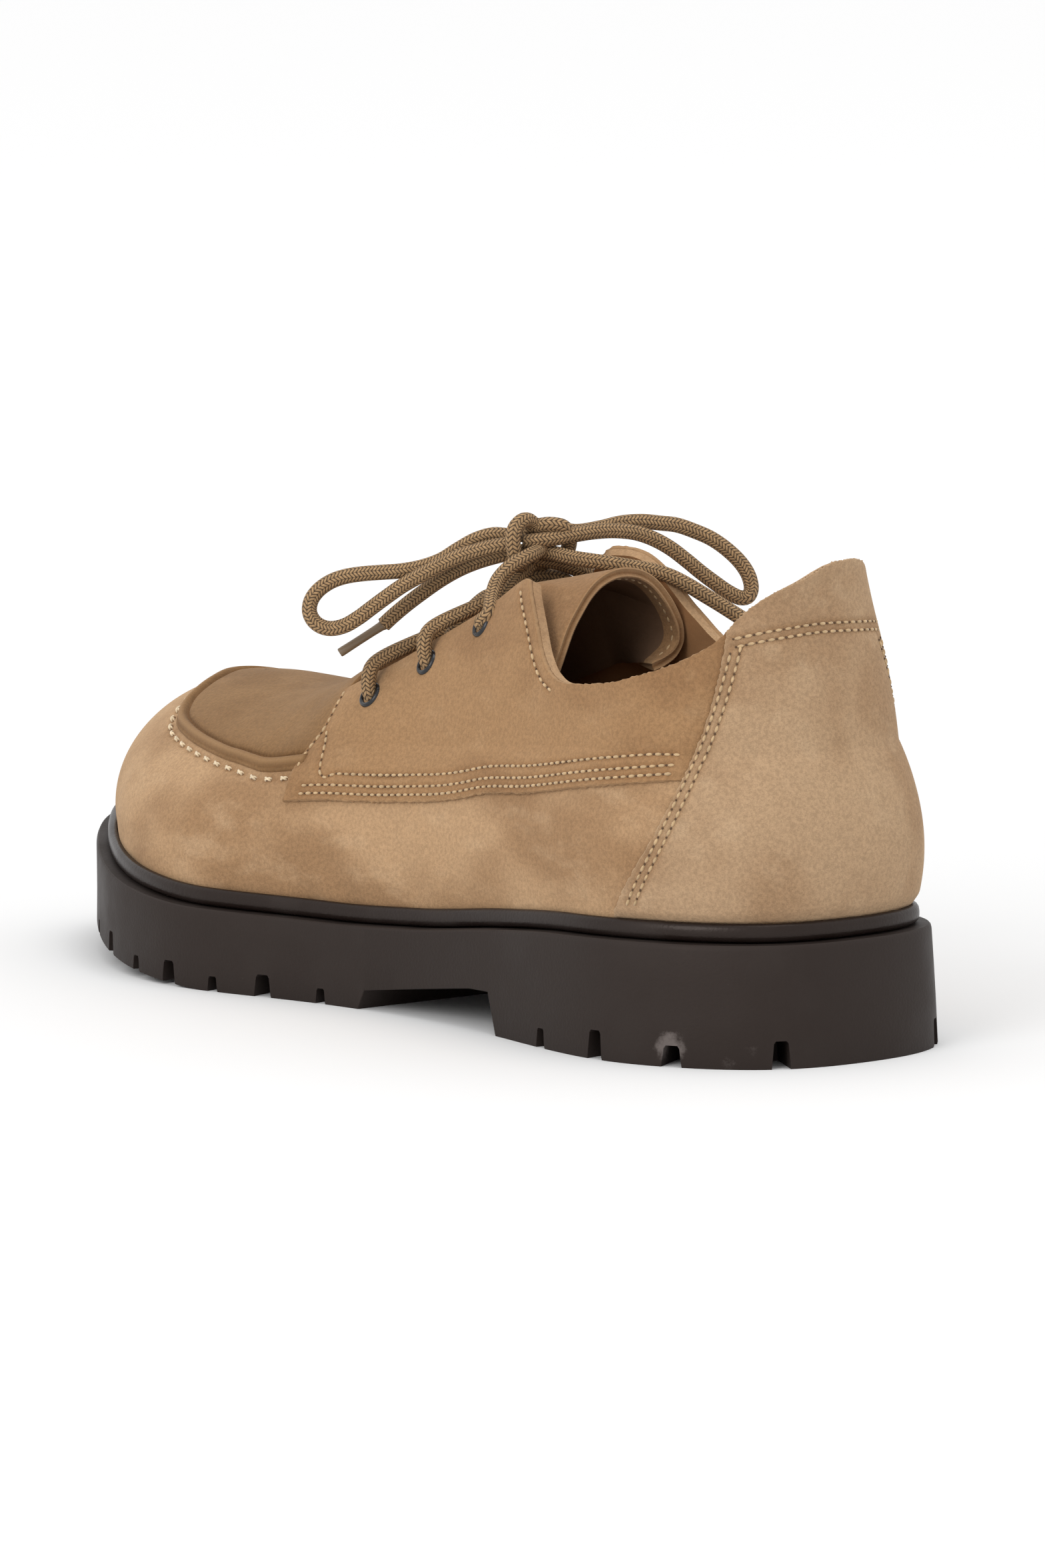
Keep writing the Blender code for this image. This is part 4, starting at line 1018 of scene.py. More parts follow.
# %% Welt ring
WELT_PROFILE = (
    # inset from the sole's edge in millimetres, share of the welt's height
    (4.2, 0.0), (3.6, 0.02), (3.05, 0.16), (2.85, 0.36), (2.85, 0.58), (3.05, 0.80), (3.50, 0.95),
    (4.05, 1.00),
)
welt_rows = []
for inset, share in WELT_PROFILE:
    x, y, _ = edge_point(round_places, inset * MM)
    welt_rows.append(np.stack([x, y, sole_top(y) + JOIN_GAP + share * WELT_HEIGHT], axis=1))
for share in (0.97, 0.5, 0.0):
    under_edge = share_at_height(round_places, JOIN_GAP + share * WELT_HEIGHT)
    line = shell(round_places, under_edge, 0.35 * MM) + ORIGIN
    line[:, 2] = sole_top(line[:, 1]) + JOIN_GAP + share * WELT_HEIGHT
    welt_rows.append(line)
welt_points = np.stack(welt_rows, axis=1).reshape(-1, 3) - ORIGIN
size = len(welt_rows)
welt_faces = ring_faces(count, size)
welt = mesh_object("welt_rand", welt_points, welt_faces, [welt_rubber], angle=60)
turn_out(welt)
stand_for(welt, "welt_rubber", "welt")
print("welt:", len(welt_faces), "faces")

# %% [markdown]
# ## The upper's wall
# The base sheet runs all the way round, from under the welt to the topline. Ahead of the throat
# it closes over the toes, so those columns go on to the crest, where both sides meet in one line
# of shared points. The inner face carries the tan lining.

# %% Base upper
THROAT_ROWS = 56
CREST_ROWS = 30
rear_places = np.linspace(0, THROAT_FRONT, 240)
fore_places = np.linspace(THROAT_FRONT, 1, 110)[1:]
all_half = np.r_[rear_places, fore_places]
upper_places = np.r_[all_half, 2 - all_half[-2:0:-1]]
up_share = np.linspace(0, 1, THROAT_ROWS)
body_w = np.repeat(upper_places[:, None], THROAT_ROWS, axis=1)
body_v = up_share[None, :] * topline(upper_places)[:, None]
fore = np.where(side_share(upper_places) >= THROAT_FRONT - 1e-9)[0]
over_share = np.linspace(0, 1, CREST_ROWS)[1:]
throat_v = topline(upper_places[fore])
over_w = np.repeat(upper_places[fore][:, None], CREST_ROWS - 1, axis=1)
over_v = throat_v[:, None] + (1 - throat_v[:, None]) * over_share[None, :]


def two_faces(w, v, lift):
    points = shell(w, v, lift).reshape(-1, 3)
    return settle(points, outward(w, v).reshape(-1, 3))


upper_points = []
upper_seam_shade = []
upper_faces = []
upper_slots = []
# The outer face carries the seams' painted shade; the lining face carries none.
for layer, lift in enumerate((0.3 * MM, -WALL)):
    body, seam_shade_a = two_faces(body_w, body_v, lift)
    over, seam_shade_b = two_faces(over_w, over_v, lift)
    first = len(upper_points)
    upper_points += list(body) + list(over)
    upper_seam_shade += list(seam_shade_a * (1 - layer)) + list(seam_shade_b * (1 - layer))
    body_ids = first + np.arange(len(body)).reshape(body_w.shape)
    over_ids = first + len(body) + np.arange(len(over)).reshape(over_w.shape)
    for i in range(len(fore) // 2):
        over_ids[len(fore) - 1 - i, -1] = over_ids[i, -1]
    n = len(upper_places)
    for i in range(n):
        k = (i + 1) % n
        for j in range(THROAT_ROWS - 1):
            upper_faces.append((body_ids[i, j], body_ids[k, j], body_ids[k, j + 1], body_ids[i, j + 1]))
            upper_slots.append(layer)
    for a in range(len(fore) - 1):
        low_a, low_b = body_ids[fore[a], -1], body_ids[fore[a + 1], -1]
        upper_faces.append((low_a, low_b, over_ids[a + 1, 0], over_ids[a, 0]))
        upper_slots.append(layer)
        b = a + 1
        for j in range(CREST_ROWS - 2):
            upper_faces.append((over_ids[a, j], over_ids[b, j], over_ids[b, j + 1], over_ids[a, j + 1]))
            upper_slots.append(layer)
upper_faces = [tuple(dict.fromkeys(f)) for f in upper_faces]
kept = [(f, s) for f, s in zip(upper_faces, upper_slots) if len(f) > 2]
upper_faces = [f for f, _ in kept]
upper_slots = [s for _, s in kept]
half_count = len(upper_points) // 2
rims = rims_of([face for face in upper_faces if max(face) < half_count], half_count)
upper_faces += rims
upper_slots += [0] * len(rims)
upper = mesh_object("upper_body", upper_points, upper_faces, [upper_suede, tan_lining], angle=50,
                    slots=upper_slots,
                    attributes={"seam_shade": upper_seam_shade, "cut_and_crest_highlight": np.zeros(len(upper_points))})
turn_out(upper)
stand_for(upper, "suede", "upper")
print("upper:", len(upper_faces), "faces, rim", len(rims))

# %% [markdown]
# ## Counter and quarters
# The counter wraps the heel and rises to a tab. The quarters carry the eyelets. Each is a sheet
# with its own cut edge that lies on the base, so the step between them is real.

# %% Counter
COUNTER_COLUMNS = 190
COUNTER_ROWS = 110
across_share = spaced(COUNTER_COLUMNS, 0.35 * MM, 0.1)
up_share = spaced(COUNTER_ROWS, 0.35 * MM, 0.09)
counter_w = np.zeros((len(across_share), len(up_share)))
counter_v = np.zeros_like(counter_w)
top_place = float(table(COUNTER_SEAM, 0.385))
for i, a in enumerate(across_share):
    side = 2 * a - 1
    top = float(topline((side * top_place) % 2.0))
    w_line = side * table(COUNTER_SEAM, top * up_share)
    low = share_at_height(w_line % 2.0, WELT_HEIGHT + 0.2 * MM)
    counter_w[i] = w_line % 2.0
    counter_v[i] = low + (topline(w_line % 2.0) - low) * up_share
tuck = np.clip(up_share * 0.085 / (3 * MM), 0, 1)
counter_out = 0.45 * MM + (OVERLAY_TOP - 0.45 * MM) * tuck[None, :] * np.ones_like(counter_w)
counter_in = counter_out - 0.9 * MM
counter = sheet_on_last("counter_sheet", counter_w, counter_v, counter_out, counter_in, counter_suede)
stand_for(counter, "suede", "counter")
print("counter:", len(counter.data.polygons), "faces")

# %% Quarters
QUARTER_COLUMNS = 210
QUARTER_ROWS = 90


def quarter_sheet(name, side, node):
    a = spaced(QUARTER_COLUMNS, 0.35 * MM, 0.14)
    b = spaced(QUARTER_ROWS, 0.35 * MM, 0.06)
    w = np.zeros((len(a), len(b)))
    v = np.zeros_like(w)
    for j, up in enumerate(b):
        rear = float(table(COUNTER_SEAM, 0.19 + 0.205 * up)) - 1.2 * MM / 0.45
        front = float(quarter_front(0.27 + 0.36 * up))
        w[:, j] = rear + (front - rear) * a
    low = table(QUARTER_EDGE, w)
    places = w if side > 0 else 2 - w
    high = topline(places)
    v = low + (high - low) * b[None, :]
    clear = np.clip(a * 0.14 / (4 * MM), 0, 1)[:, None] * np.ones_like(b)[None, :]
    lift_out = OVERLAY_TOP - 1.05 * MM * (1 - clear)
    lift_in = np.full_like(lift_out, 0.32 * MM)
    made = sheet_on_last(name, places, v, lift_out, lift_in, quarter_suede, cut_sides=(0, 1, 1, 1))
    stand_for(made, "suede", node)
    print(name, len(made.data.polygons), "faces")


quarter_sheet("quarter_outer_side", 1, "quarter_lateral")
quarter_sheet("quarter_inner_side", -1, "quarter_medial")

# %% [markdown]
# ## Apron
# The plug over the toes is sewn in by hand, edge to edge, and the seam stands up as a round
# bead with a groove inside it; the groove is darkened with painted shade and the bead's crest is
# paled with a painted highlight. The plug is a fan of columns from the seam up to the crest.
# The first few millimetres of every column draw the bead and the groove.

# %% Apron with its bead
BEAD = (
    # distance in from the seam and lift off the last, in millimetres
    (0.0, 0.10), (0.15, 0.70), (0.45, 0.95), (0.85, 0.98), (1.05, 1.30), (1.4, 1.95), (1.9, 2.25),
    (2.5, 2.22),
    (2.95, 1.90), (3.25, 1.25), (3.45, 0.62), (3.85, 0.50), (4.15, 0.85), (4.8, 1.25), (5.8, 1.38),
    (7.0, 1.38),
)
bead_rows = np.r_[np.linspace(0, 4.8, 33), 5.4, 6.2, 7.0]
APRON_ROWS = 46
apron_w = []
apron_v = []
apron_lift = []
for w, rim in zip(apron_places, apron_edge):
    length = float(np.linalg.norm(np.diff(last(w, np.linspace(rim, 1, 20)), axis=0), axis=1).sum())
    near = rim + (1 - rim) * bead_rows * MM / length
    rest = np.linspace(near[-1], 1, APRON_ROWS)[1:]
    apron_v.append(np.r_[near, rest])
    apron_w.append(np.full(len(near) + len(rest), w))
    apron_lift.append(np.r_[table(BEAD, bead_rows), np.full(len(rest), 1.38)] * MM)
apron_w, apron_v, apron_lift = map(np.array, (apron_w, apron_v, apron_lift))
apron_outer = shell(apron_w, apron_v, apron_lift).reshape(-1, 3)
apron_inner = shell(apron_w, apron_v, np.minimum(0.35 * MM, apron_lift * 0.2)).reshape(-1, 3)
columns = apron_w.shape[1]
n = len(apron_places)
count_a = n * columns
grid = np.arange(count_a).reshape(n, columns)
for i in range(n // 2):
    grid[n - 1 - i, -1] = grid[i, -1]
apron_faces = []
for i in range(n - 1):
    for j in range(columns - 1):
        face = tuple(dict.fromkeys((grid[i, j], grid[i + 1, j], grid[i + 1, j + 1], grid[i, j + 1])))
        if len(face) > 2:
            apron_faces.append(face)
# Painted shade: the groove inside the bead and the small step near the seam are darkened.
groove_shade = np.exp(-((bead_rows - 3.65) / 0.40) ** 2) + 0.6 * np.exp(-((bead_rows - 0.95) / 0.18) ** 2)
groove_shade_all = np.tile(np.r_[groove_shade * 1.6, np.zeros(APRON_ROWS - 1)], n)
# Painted highlight: the bead's crest is made paler.
bead_crest_highlight = np.tile(np.r_[np.exp(-((bead_rows - 1.9) / 0.8) ** 2) * 1.3, np.zeros(APRON_ROWS - 1)], n)
apron_all = apron_faces + back_of(apron_faces, count_a) + rims_of(apron_faces, count_a)
apron = mesh_object("apron_plug", np.concatenate([apron_outer, apron_inner]), apron_all, [apron_suede],
                    angle=None, attributes={"seam_shade": np.tile(groove_shade_all, 2), "cut_and_crest_highlight": np.tile(bead_crest_highlight, 2)})
turn_out(apron)
stand_for(apron, "suede", "apron")
print("apron:", len(apron.data.polygons), "faces, seam", round(travel(apron_seam)[-1] * 1000), "mm")

# %% [markdown]
# ## Tongue
# A thick loose sheet under the laces. Its free end curls into an arch above the ankle, with a
# row of stitches inside its cut edge.

# %% Tongue sheet
TONGUE = 0.0025
TONGUE_GAP = 0.0010
TONGUE_TOP = ((0.33, 0.700), (0.38, 0.674), (0.43, 0.664), (0.70, 0.664))
TONGUE_SIDE = ((0.25, 0.345), (0.32, 0.420), (0.45, 0.480), (0.62, 0.560))
TONGUE_ROOT = 0.635
TONGUE_JOIN = 0.405
TONGUE_MOUTH = (
    # the rim of the free end, from its outer foot over the top to its inner foot, metres from the heel tip
    (-0.0241, 0.0800, 0.0841), (-0.0222, 0.0800, 0.0883), (-0.0191, 0.0802, 0.0947),
    (-0.0163, 0.0804, 0.0986), (-0.0129, 0.0808, 0.1024), (-0.0095, 0.0812, 0.1049),
    (-0.0049, 0.0818, 0.1066), (-0.0003, 0.0824, 0.1070), (0.0055, 0.0832, 0.1060),
    (0.0101, 0.0838, 0.1037), (0.0142, 0.0844, 0.1001), (0.0177, 0.0849, 0.0957),
    (0.0198, 0.0852, 0.0915), (0.0201, 0.0855, 0.0876), (0.0184, 0.0858, 0.0844),
    (0.0155, 0.0860, 0.0824), (0.0116, 0.0860, 0.0810),
)
tongue_columns = 96
LACED_ROWS = 60


def tongue_rows(places):
    """Rows of the tongue under the laces, lying just inside the upper."""
    across_grid, place_grid = np.meshgrid(np.linspace(-1, 1, tongue_columns), places)
    v = 1 - (1 - table(TONGUE_SIDE, place_grid)) * np.abs(across_grid)
    w = np.where(across_grid <= 0, place_grid, 2 - place_grid)
    points = shell(w, v, np.full_like(v, -WALL - TONGUE_GAP))
    limit = table(TONGUE_TOP, (points[..., 1] + ORIGIN[1]) / SOLE_LENGTH) * ANKLE_HEIGHT
    blend = 0.05 * ANKLE_HEIGHT
    over = (points[..., 2] - limit) / blend
    lowered = limit - blend * 0.5 * (np.sqrt(over * over + 0.16) - over) + 0.2 * blend
    points[..., 2] = np.where(over > -2, np.minimum(lowered, points[..., 2] + 0.2 * MM), points[..., 2])
    return points


mouth = even_path(np.array(TONGUE_MOUTH) - ORIGIN, 0.2 * MM)
mouth = mouth[np.round(np.linspace(0, len(mouth) - 1, tongue_columns)).astype(int)]
under_laces = tongue_rows(np.linspace(TONGUE_JOIN, TONGUE_ROOT, LACED_ROWS))
onward_way = unit(under_laces[3] - under_laces[0])
gap = under_laces[0] - mouth
reach = np.linalg.norm(gap, axis=-1, keepdims=True)
loft = []
for t in spaced(38, 0.35 * MM, 35 * MM)[:-1]:
    loft.append(mouth * (2 * t ** 3 - 3 * t ** 2 + 1) + gap * 0.8 * (t ** 3 - 2 * t ** 2 + t)
                + under_laces[0] * (3 * t ** 2 - 2 * t ** 3) + onward_way * reach * 0.8 * (t ** 3 - t ** 2))
tongue_top = np.concatenate([np.array(loft), under_laces])
normal = unit(np.cross(np.gradient(tongue_top, axis=1), np.gradient(tongue_top, axis=0)))
if normal[40, 48, 2] < 0:
    normal = -normal
tongue_size = tongue_top.shape[:2]
rounding = np.zeros(tongue_size)
rounding[0, :] = rounding[:, 0] = rounding[:, -1] = 1
bevel = (rounding * 0.35 * MM)[..., None]
outer_face = (tongue_top - normal * bevel).reshape(-1, 3)
inner_face = (tongue_top - normal * TONGUE + normal * bevel).reshape(-1, 3)
count_t = len(outer_face)
faces = grid_faces(*tongue_size)
back = back_of(faces, count_t)
ids_t = np.arange(count_t).reshape(tongue_size)
loops = []
for inset in (0, 1):
    first, last_one = ids_t[inset], ids_t[-1 - inset]
    loops.append(first.tolist() + ids_t[1:, -1 - inset].tolist() + last_one[-2::-1].tolist()
                 + ids_t[-2:0:-1, inset].tolist())
border, next_in = loops
inward_way = unit(tongue_top.reshape(-1, 3)[next_in] - tongue_top.reshape(-1, 3)[border])
between = (outer_face[border] + inner_face[border]) / 2 + inward_way * 0.45 * MM
ring = list(range(2 * count_t, 2 * count_t + len(border)))
rims = []
for a, b, c, d in zip(border, border[1:] + border[:1], ring, ring[1:] + ring[:1]):
    rims += [(b, a, c, d), (d, c, a + count_t, b + count_t)]
lining_from = 8
back_slots = [0 if k // (tongue_columns - 1) < lining_from else 1 for k in range(len(back))]
cut_values = np.r_[rounding.reshape(-1), rounding.reshape(-1), np.zeros(len(border))]
# Painted shade: the middle of the rounded rim, set in towards the sheet, is darkened.
seam_shade_values = np.r_[np.zeros(2 * count_t), np.ones(len(border)) * 1.5]
tongue = mesh_object("tongue_sheet", np.concatenate([outer_face, inner_face, between]), faces + back + rims,
                     [quarter_suede, lining], angle=60,
                     attributes={"seam_shade": seam_shade_values, "cut_and_crest_highlight": cut_values},
                     slots=[0] * len(faces) + back_slots + [0] * len(rims))
turn_out(tongue)
stand_for(tongue, "suede", "tongue")
tongue_stitch = (tongue_top[4] - normal[4] * (TONGUE - 0.05 * MM))[4:-4]
print("tongue top at", round(float(tongue_top[..., 2].max()) * 1000, 1), "mm")

# %% Insole
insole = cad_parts["insole"]
insole.data.materials.clear()
insole.data.materials.append(lining)
print("insole keeps its solid")

# %% [markdown]
# ## Stitches
# Machine rows are many short threads lying in their furrow, with a needle hole at each end. A
# Geometry Nodes tree walks along a line, sets one stitch on each step and turns it along the
# line. The same tree makes the holes as dark beads of a rounder shape: painted shade for the
# hollow of each needle hole.

# %% A tree that lays stitches along a line
BEAD_SEGMENTS = 8
BEAD_RINGS = 5
FACES_EACH = BEAD_SEGMENTS * BEAD_RINGS


def stitch_tree():
    """Sets a stretched bead on every step of a line and turns it along the line."""
    tree = bpy.data.node_groups.new("stitch_row", "GeometryNodeTree")
    for label, way, kind, value in (
        ("Geometry", "INPUT", "Geometry", None), ("Pitch", "INPUT", "Float", 0.002),
        ("Length", "INPUT", "Float", 0.0017), ("Thickness", "INPUT", "Float", 0.0006),
        ("Seed", "INPUT", "Int", 1), ("Finish", "INPUT", "Material", None),
        ("Geometry", "OUTPUT", "Geometry", None),
    ):
        socket = tree.interface.new_socket(label, in_out=way, socket_type="NodeSocket" + kind)
        if value is not None:
            socket.default_value = value
    nodes = {label: tree.nodes.new(kind) for label, kind in (
        ("start", "NodeGroupInput"), ("end", "NodeGroupOutput"), ("to_curve", "GeometryNodeMeshToCurve"),
        ("resample", "GeometryNodeResampleCurve"), ("instance", "GeometryNodeInstanceOnPoints"),
        ("bead", "GeometryNodeMeshUVSphere"), ("tangent", "GeometryNodeInputTangent"),
        ("align", "FunctionNodeAlignRotationToVector"), ("size", "ShaderNodeCombineXYZ"),
        ("jitter", "FunctionNodeRandomValue"), ("scaled", "ShaderNodeVectorMath"),
        ("realize", "GeometryNodeRealizeInstances"), ("smooth", "GeometryNodeSetShadeSmooth"),
        ("finish", "GeometryNodeSetMaterial"),
    )}
    nodes["resample"].mode = "LENGTH"
    nodes["align"].axis = "X"
    nodes["jitter"].data_type = "FLOAT"
    nodes["scaled"].operation = "SCALE"
    for label, socket, value in (("bead", "Segments", BEAD_SEGMENTS), ("bead", "Rings", BEAD_RINGS),
                                 ("bead", "Radius", 0.5), ("jitter", 2, 0.88), ("jitter", 3, 1.08)):
        nodes[label].inputs[socket].default_value = value
    for giver, output, taker, socket in (
        ("start", "Geometry", "to_curve", "Mesh"), ("to_curve", "Curve", "resample", "Curve"),
        ("start", "Pitch", "resample", "Length"), ("resample", "Curve", "instance", "Points"),
        ("bead", "Mesh", "instance", "Instance"), ("tangent", "Tangent", "align", "Vector"),
        ("align", "Rotation", "instance", "Rotation"), ("start", "Length", "size", "X"),
        ("start", "Thickness", "size", "Y"), ("start", "Thickness", "size", "Z"),
        ("start", "Seed", "jitter", "Seed"), ("size", "Vector", "scaled", 0),
        ("jitter", 1, "scaled", "Scale"),
        ("scaled", "Vector", "instance", "Scale"), ("instance", "Instances", "realize", "Geometry"),
        ("realize", "Geometry", "smooth", "Geometry"), ("smooth", "Geometry", "finish", "Geometry"),
        ("start", "Finish", "finish", "Material"), ("finish", "Geometry", "end", "Geometry"),
    ):
        tree.links.new(nodes[giver].outputs[output], nodes[taker].inputs[socket])
    return tree


stitches = stitch_tree()
STITCH_PITCH = 2.3 * MM


def sew(name, lines, finish, pitch, length, thickness, seed=1, shift=0.0):
    """Stitches along several lines as one plain mesh."""
    points = []
    edges = []
    for line in lines:
        walked = travel(line)
        stops = np.arange(shift * pitch, walked[-1], pitch)
        first = len(points)
        points += [[np.interp(t, walked, line[:, k]) for k in range(3)] for t in stops]
        edges += [(first + k, first + k + 1) for k in range(len(stops) - 1)]
    mesh = bpy.data.meshes.new(name)
    mesh.from_pydata([tuple(p) for p in points], edges, [])
    made = bpy.data.objects.new(name, mesh)
    bpy.context.scene.collection.objects.link(made)
    step = made.modifiers.new("stitch_row", "NODES")
    step.node_group = stitches
    wanted = {"Pitch": pitch, "Length": length, "Thickness": thickness, "Seed": seed, "Finish": finish}
    for item in stitches.interface.items_tree:
        if item.in_out == "INPUT" and item.name in wanted:
            step[item.identifier] = wanted[item.name]
    evaluated = made.evaluated_get(bpy.context.evaluated_depsgraph_get())
    plain = bpy.data.meshes.new_from_object(evaluated)
    made.modifiers.clear()
    made.data = plain
    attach(made, "root")
    return made


def lower(line, depth):
    """A line moved into the suede, towards the inside of the shoe."""
    middle = np.array([0.0, 0.0, 0.045])
    return line + unit((middle - line) * (1, 0.15, 1)) * depth


sunk = [lower(line, 0.22 * MM) for line in stitch_lines.values()]
machine_thread = sew("machine_stitches", sunk, stitch_thread, STITCH_PITCH, 1.75 * MM, 0.74 * MM, seed=3)
# Painted shade for the needle holes, as dark beads between the threads.
needle_hole_shades = sew("needle_hole_shades", sunk, painted_hole_shade, STITCH_PITCH, 0.55 * MM, 0.56 * MM, seed=5, shift=0.5)
sew("tongue_stitches", [tongue_stitch], stitch_thread, STITCH_PITCH, 1.6 * MM, 0.55 * MM, seed=7)
for made in (machine_thread, needle_hole_shades):
    print(made.name, len(made.data.polygons) // FACES_EACH)

# %% [markdown]
# ## Hand stitches round the apron
# Thick waxed thread binds the plug to the vamp. Two strands cross in every stitch, and each one
# pulls a dimple into the vamp just outside the bead. The dimples are in the vamp's mesh, and the
# strands are short bent tubes bowed over them.

# %% Hand stitches
HAND_SIDES = 8
HAND_SPOTS = 7
hand_points = []
hand_faces = []
for t in hand_stops:
    for cross in (-1, 1):
        share = np.linspace(-1, 1, HAND_SPOTS)
        w = np.interp(t + share * 0.95 * MM, hand_travel, apron_places)
        v = np.interp(t + share * 0.95 * MM, hand_travel, hand_v)
        v = v + cross * share * 0.34 * MM / metres_per_share(w, v)
        path = shell(w, v, (0.62 - 0.75 * share ** 4 + 0.10 * cross) * MM)
        hand_faces += tube_faces(HAND_SPOTS, HAND_SIDES, len(hand_points))
        for k, (spot, way) in enumerate(zip(path, unit(np.gradient(path, axis=0)))):
            one = unit(np.cross(way, [0.1, 0.2, 1.0]))
            r = 0.30 * MM * (0.6 if k in (0, HAND_SPOTS - 1) else 1.0)
            hand_points += circle(spot, one, np.cross(way, one), r, HAND_SIDES)
hand = mesh_object("hand_stitches", hand_points, hand_faces, [hand_thread], angle=None)
turn_out(hand)
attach(hand, "root")
print("hand stitches:", len(hand_stops), "length of the row", round(hand_travel[-1] * 1000), "mm")

# %% [markdown]
# ## Eyelets
# Small enamelled rings pressed into the quarters. Each is a profile turned round its own axis,
# which stands square on the suede. The laces start from the same spots.

# %% Eyelet rings
EYELET_PROFILE = (
    # distance from the ring's axis and height over the suede, in millimetres
    (2.05, -1.6), (2.15, 0.1), (2.45, 0.55), (2.85, 0.62), (3.20, 0.42), (3.35, 0.0), (2.7, -0.5),
)
EYELET_TURNS = 32
eyelet_points = []
eyelet_faces = []
eyelet_feet = {}
for label, rows, side in (("outer", EYELETS_OUTER, 1), ("inner", EYELETS_INNER, -1)):
    for number, (w, v) in enumerate(rows):
        place_w = w if side > 0 else 2 - w
        foot = shell(place_w, v, OVERLAY_TOP)
        spot = shell(place_w, v, 0.0)
        out = unit(shell(place_w, v, 1.0) - spot)
        first_way = shell(place_w, v + 0.01, 0.0) - spot
        first_way = unit(first_way - out * (first_way @ out))
        second_way = np.cross(out, first_way)
        eyelet_feet[(label, number)] = (foot, out)
        eyelet_faces += ring_faces(EYELET_TURNS, len(EYELET_PROFILE), len(eyelet_points))
        for a in np.arange(EYELET_TURNS) * 2 * pi / EYELET_TURNS:
            spoke = first_way * cos(a) + second_way * sin(a)
            eyelet_points += [foot + spoke * r * MM + out * h * MM for r, h in EYELET_PROFILE]
eyelets = mesh_object("eyelet_rings", eyelet_points, eyelet_faces, [eyelet_metal], angle=60)
turn_out(eyelets)
eyelet_nodes = [f"eyelet_{side}_{k}" for side in ("lateral", "medial") for k in (1, 2, 3)]
stand_for(eyelets, "eyelet_metal", *eyelet_nodes)
print("eyelets:", len(eyelet_feet))

# %% [markdown]
# ## Laces
# A round braided lace. The tube carries a map of its own, round and along, and the weave is drawn
# on it as columns of slanted yarns, with painted shade in the gaps between them. The lace comes up
# through each eyelet, over the facing and across the tongue, and ends in a bow.

# %% A braided tube
LACE_SIDES = 24


def braided(path, radius):
    """Points, faces and weave coordinates of a braided tube along an even path."""
    ways = unit(np.gradient(path, axis=0))
    walked = travel(path) / CHEVRON_PITCH
    side = np.cross(ways[0], [0.31, 0.22, 1.0])
    first = []
    for way in ways:
        side = unit(side - way * (side @ way))
        first.append(side)
    first = np.array(first)
    second = np.cross(ways, first)
    turn = np.arange(LACE_SIDES) * 2 * pi / LACE_SIDES
    points = path[:, None, :] + first[:, None, :] * (np.cos(turn) * radius)[None, :, None]
    points = points + second[:, None, :] * (np.sin(turn) * radius)[None, :, None]
    i, j = np.meshgrid(np.arange(len(path) - 1), np.arange(LACE_SIDES), indexing="ij")
    corners = [np.stack([(j + round_on) / LACE_SIDES, walked[i + along]], axis=-1)
               for round_on, along in ((0, 0), (1, 0), (1, 1), (0, 1))]
    weave = np.concatenate([np.stack(corners, axis=-2).reshape(-1, 2), np.zeros((2 * LACE_SIDES, 2))])
    return points.reshape(-1, 3), tube_faces(len(path), LACE_SIDES), weave


def lace_piece(name, paths, nodes, radius=LACE_RADIUS):
    """One or more lengths of lace as one piece that replaces the given solids."""
    points = []
    faces = []
    weaves = []
    for path in paths:
        tube_points, tube, weave = braided(path, radius)
        faces += [[i + len(points) for i in face] for face in tube]
        points += list(tube_points)
        weaves.append(weave)
    made = mesh_object(name, points, faces, [braid], angle=None)
    layer = made.data.uv_layers.new(name="weave")
    layer.data.foreach_set("uv", np.concatenate(weaves).reshape(-1).astype(np.float32))
    turn_out(made)
    stand_for(made, "lace", *nodes)
    return made


STEP = 0.5 * MM


def eyelet_to(label, number):
    """Start of a lace: from inside the shoe, up through the ring and over towards the facing edge."""
    foot, out = eyelet_feet[(label, number)]
    w, v = (EYELETS_OUTER if label == "outer" else EYELETS_INNER)[number]
    place_w = w if label == "outer" else 2 - w
    to_edge = shell(place_w, v + 0.03, 0) - shell(place_w, v, 0)
    points = [shell(place_w, v - 0.02, -2.4 * MM), shell(place_w, v - 0.004, 0.0),
              foot + out * 0.2 * MM + to_edge * 0.15]
    for ahead, lift in ((0.045, 4.2), (0.085, 4.5)):
        points.append(shell(place_w, v + ahead, lift * MM))
    return points


def on_tongue(place, across, lift):
    """Point over the tongue, across from its outer side (-1) to its inner side (1)."""
    row = np.interp(place, np.linspace(TONGUE_JOIN, TONGUE_ROOT, LACED_ROWS), np.arange(LACED_ROWS))
    column = np.interp(across, np.linspace(-1, 1, tongue_columns), np.arange(tongue_columns))
    i, j = min(int(row), LACED_ROWS - 2), min(int(column), tongue_columns - 2)
    a, b = row - i, column - j
    below = under_laces[i, j] * (1 - a) * (1 - b) + under_laces[i + 1, j] * a * (1 - b)
    below = below + under_laces[i, j + 1] * (1 - a) * b + under_laces[i + 1, j + 1] * a * b
    return below + np.array((0, 0, lift))


CROSSING = (
    # share of the way back, place across the tongue, lift of the outer and of the inner lace in millimetres
    (0.28, 0.42, 2.6, 2.6), (0.50, 0.0, 2.3, 5.4), (0.72, -0.40, 2.0, 2.0), (0.88, -0.72, 1.6, 1.6),
)


def crossing(label, low, high):
    """One lace from its eyelet across the tongue to under the opposite facing."""
    outer = label == "outer"
    start_w = (EYELETS_OUTER if outer else EYELETS_INNER)[low][0]
    end_w = (EYELETS_INNER if outer else EYELETS_OUTER)[high][0]
    points = eyelet_to(label, low)
    for share, across, outer_lift, inner_lift in CROSSING:
        lift = outer_lift if outer else inner_lift
        points.append(on_tongue(start_w + (end_w - start_w) * share, -across if outer else across, lift * MM))
    points.append(shell(2 - end_w if outer else end_w, 0.60, -2.4 * MM))
    return even_path(points, STEP)


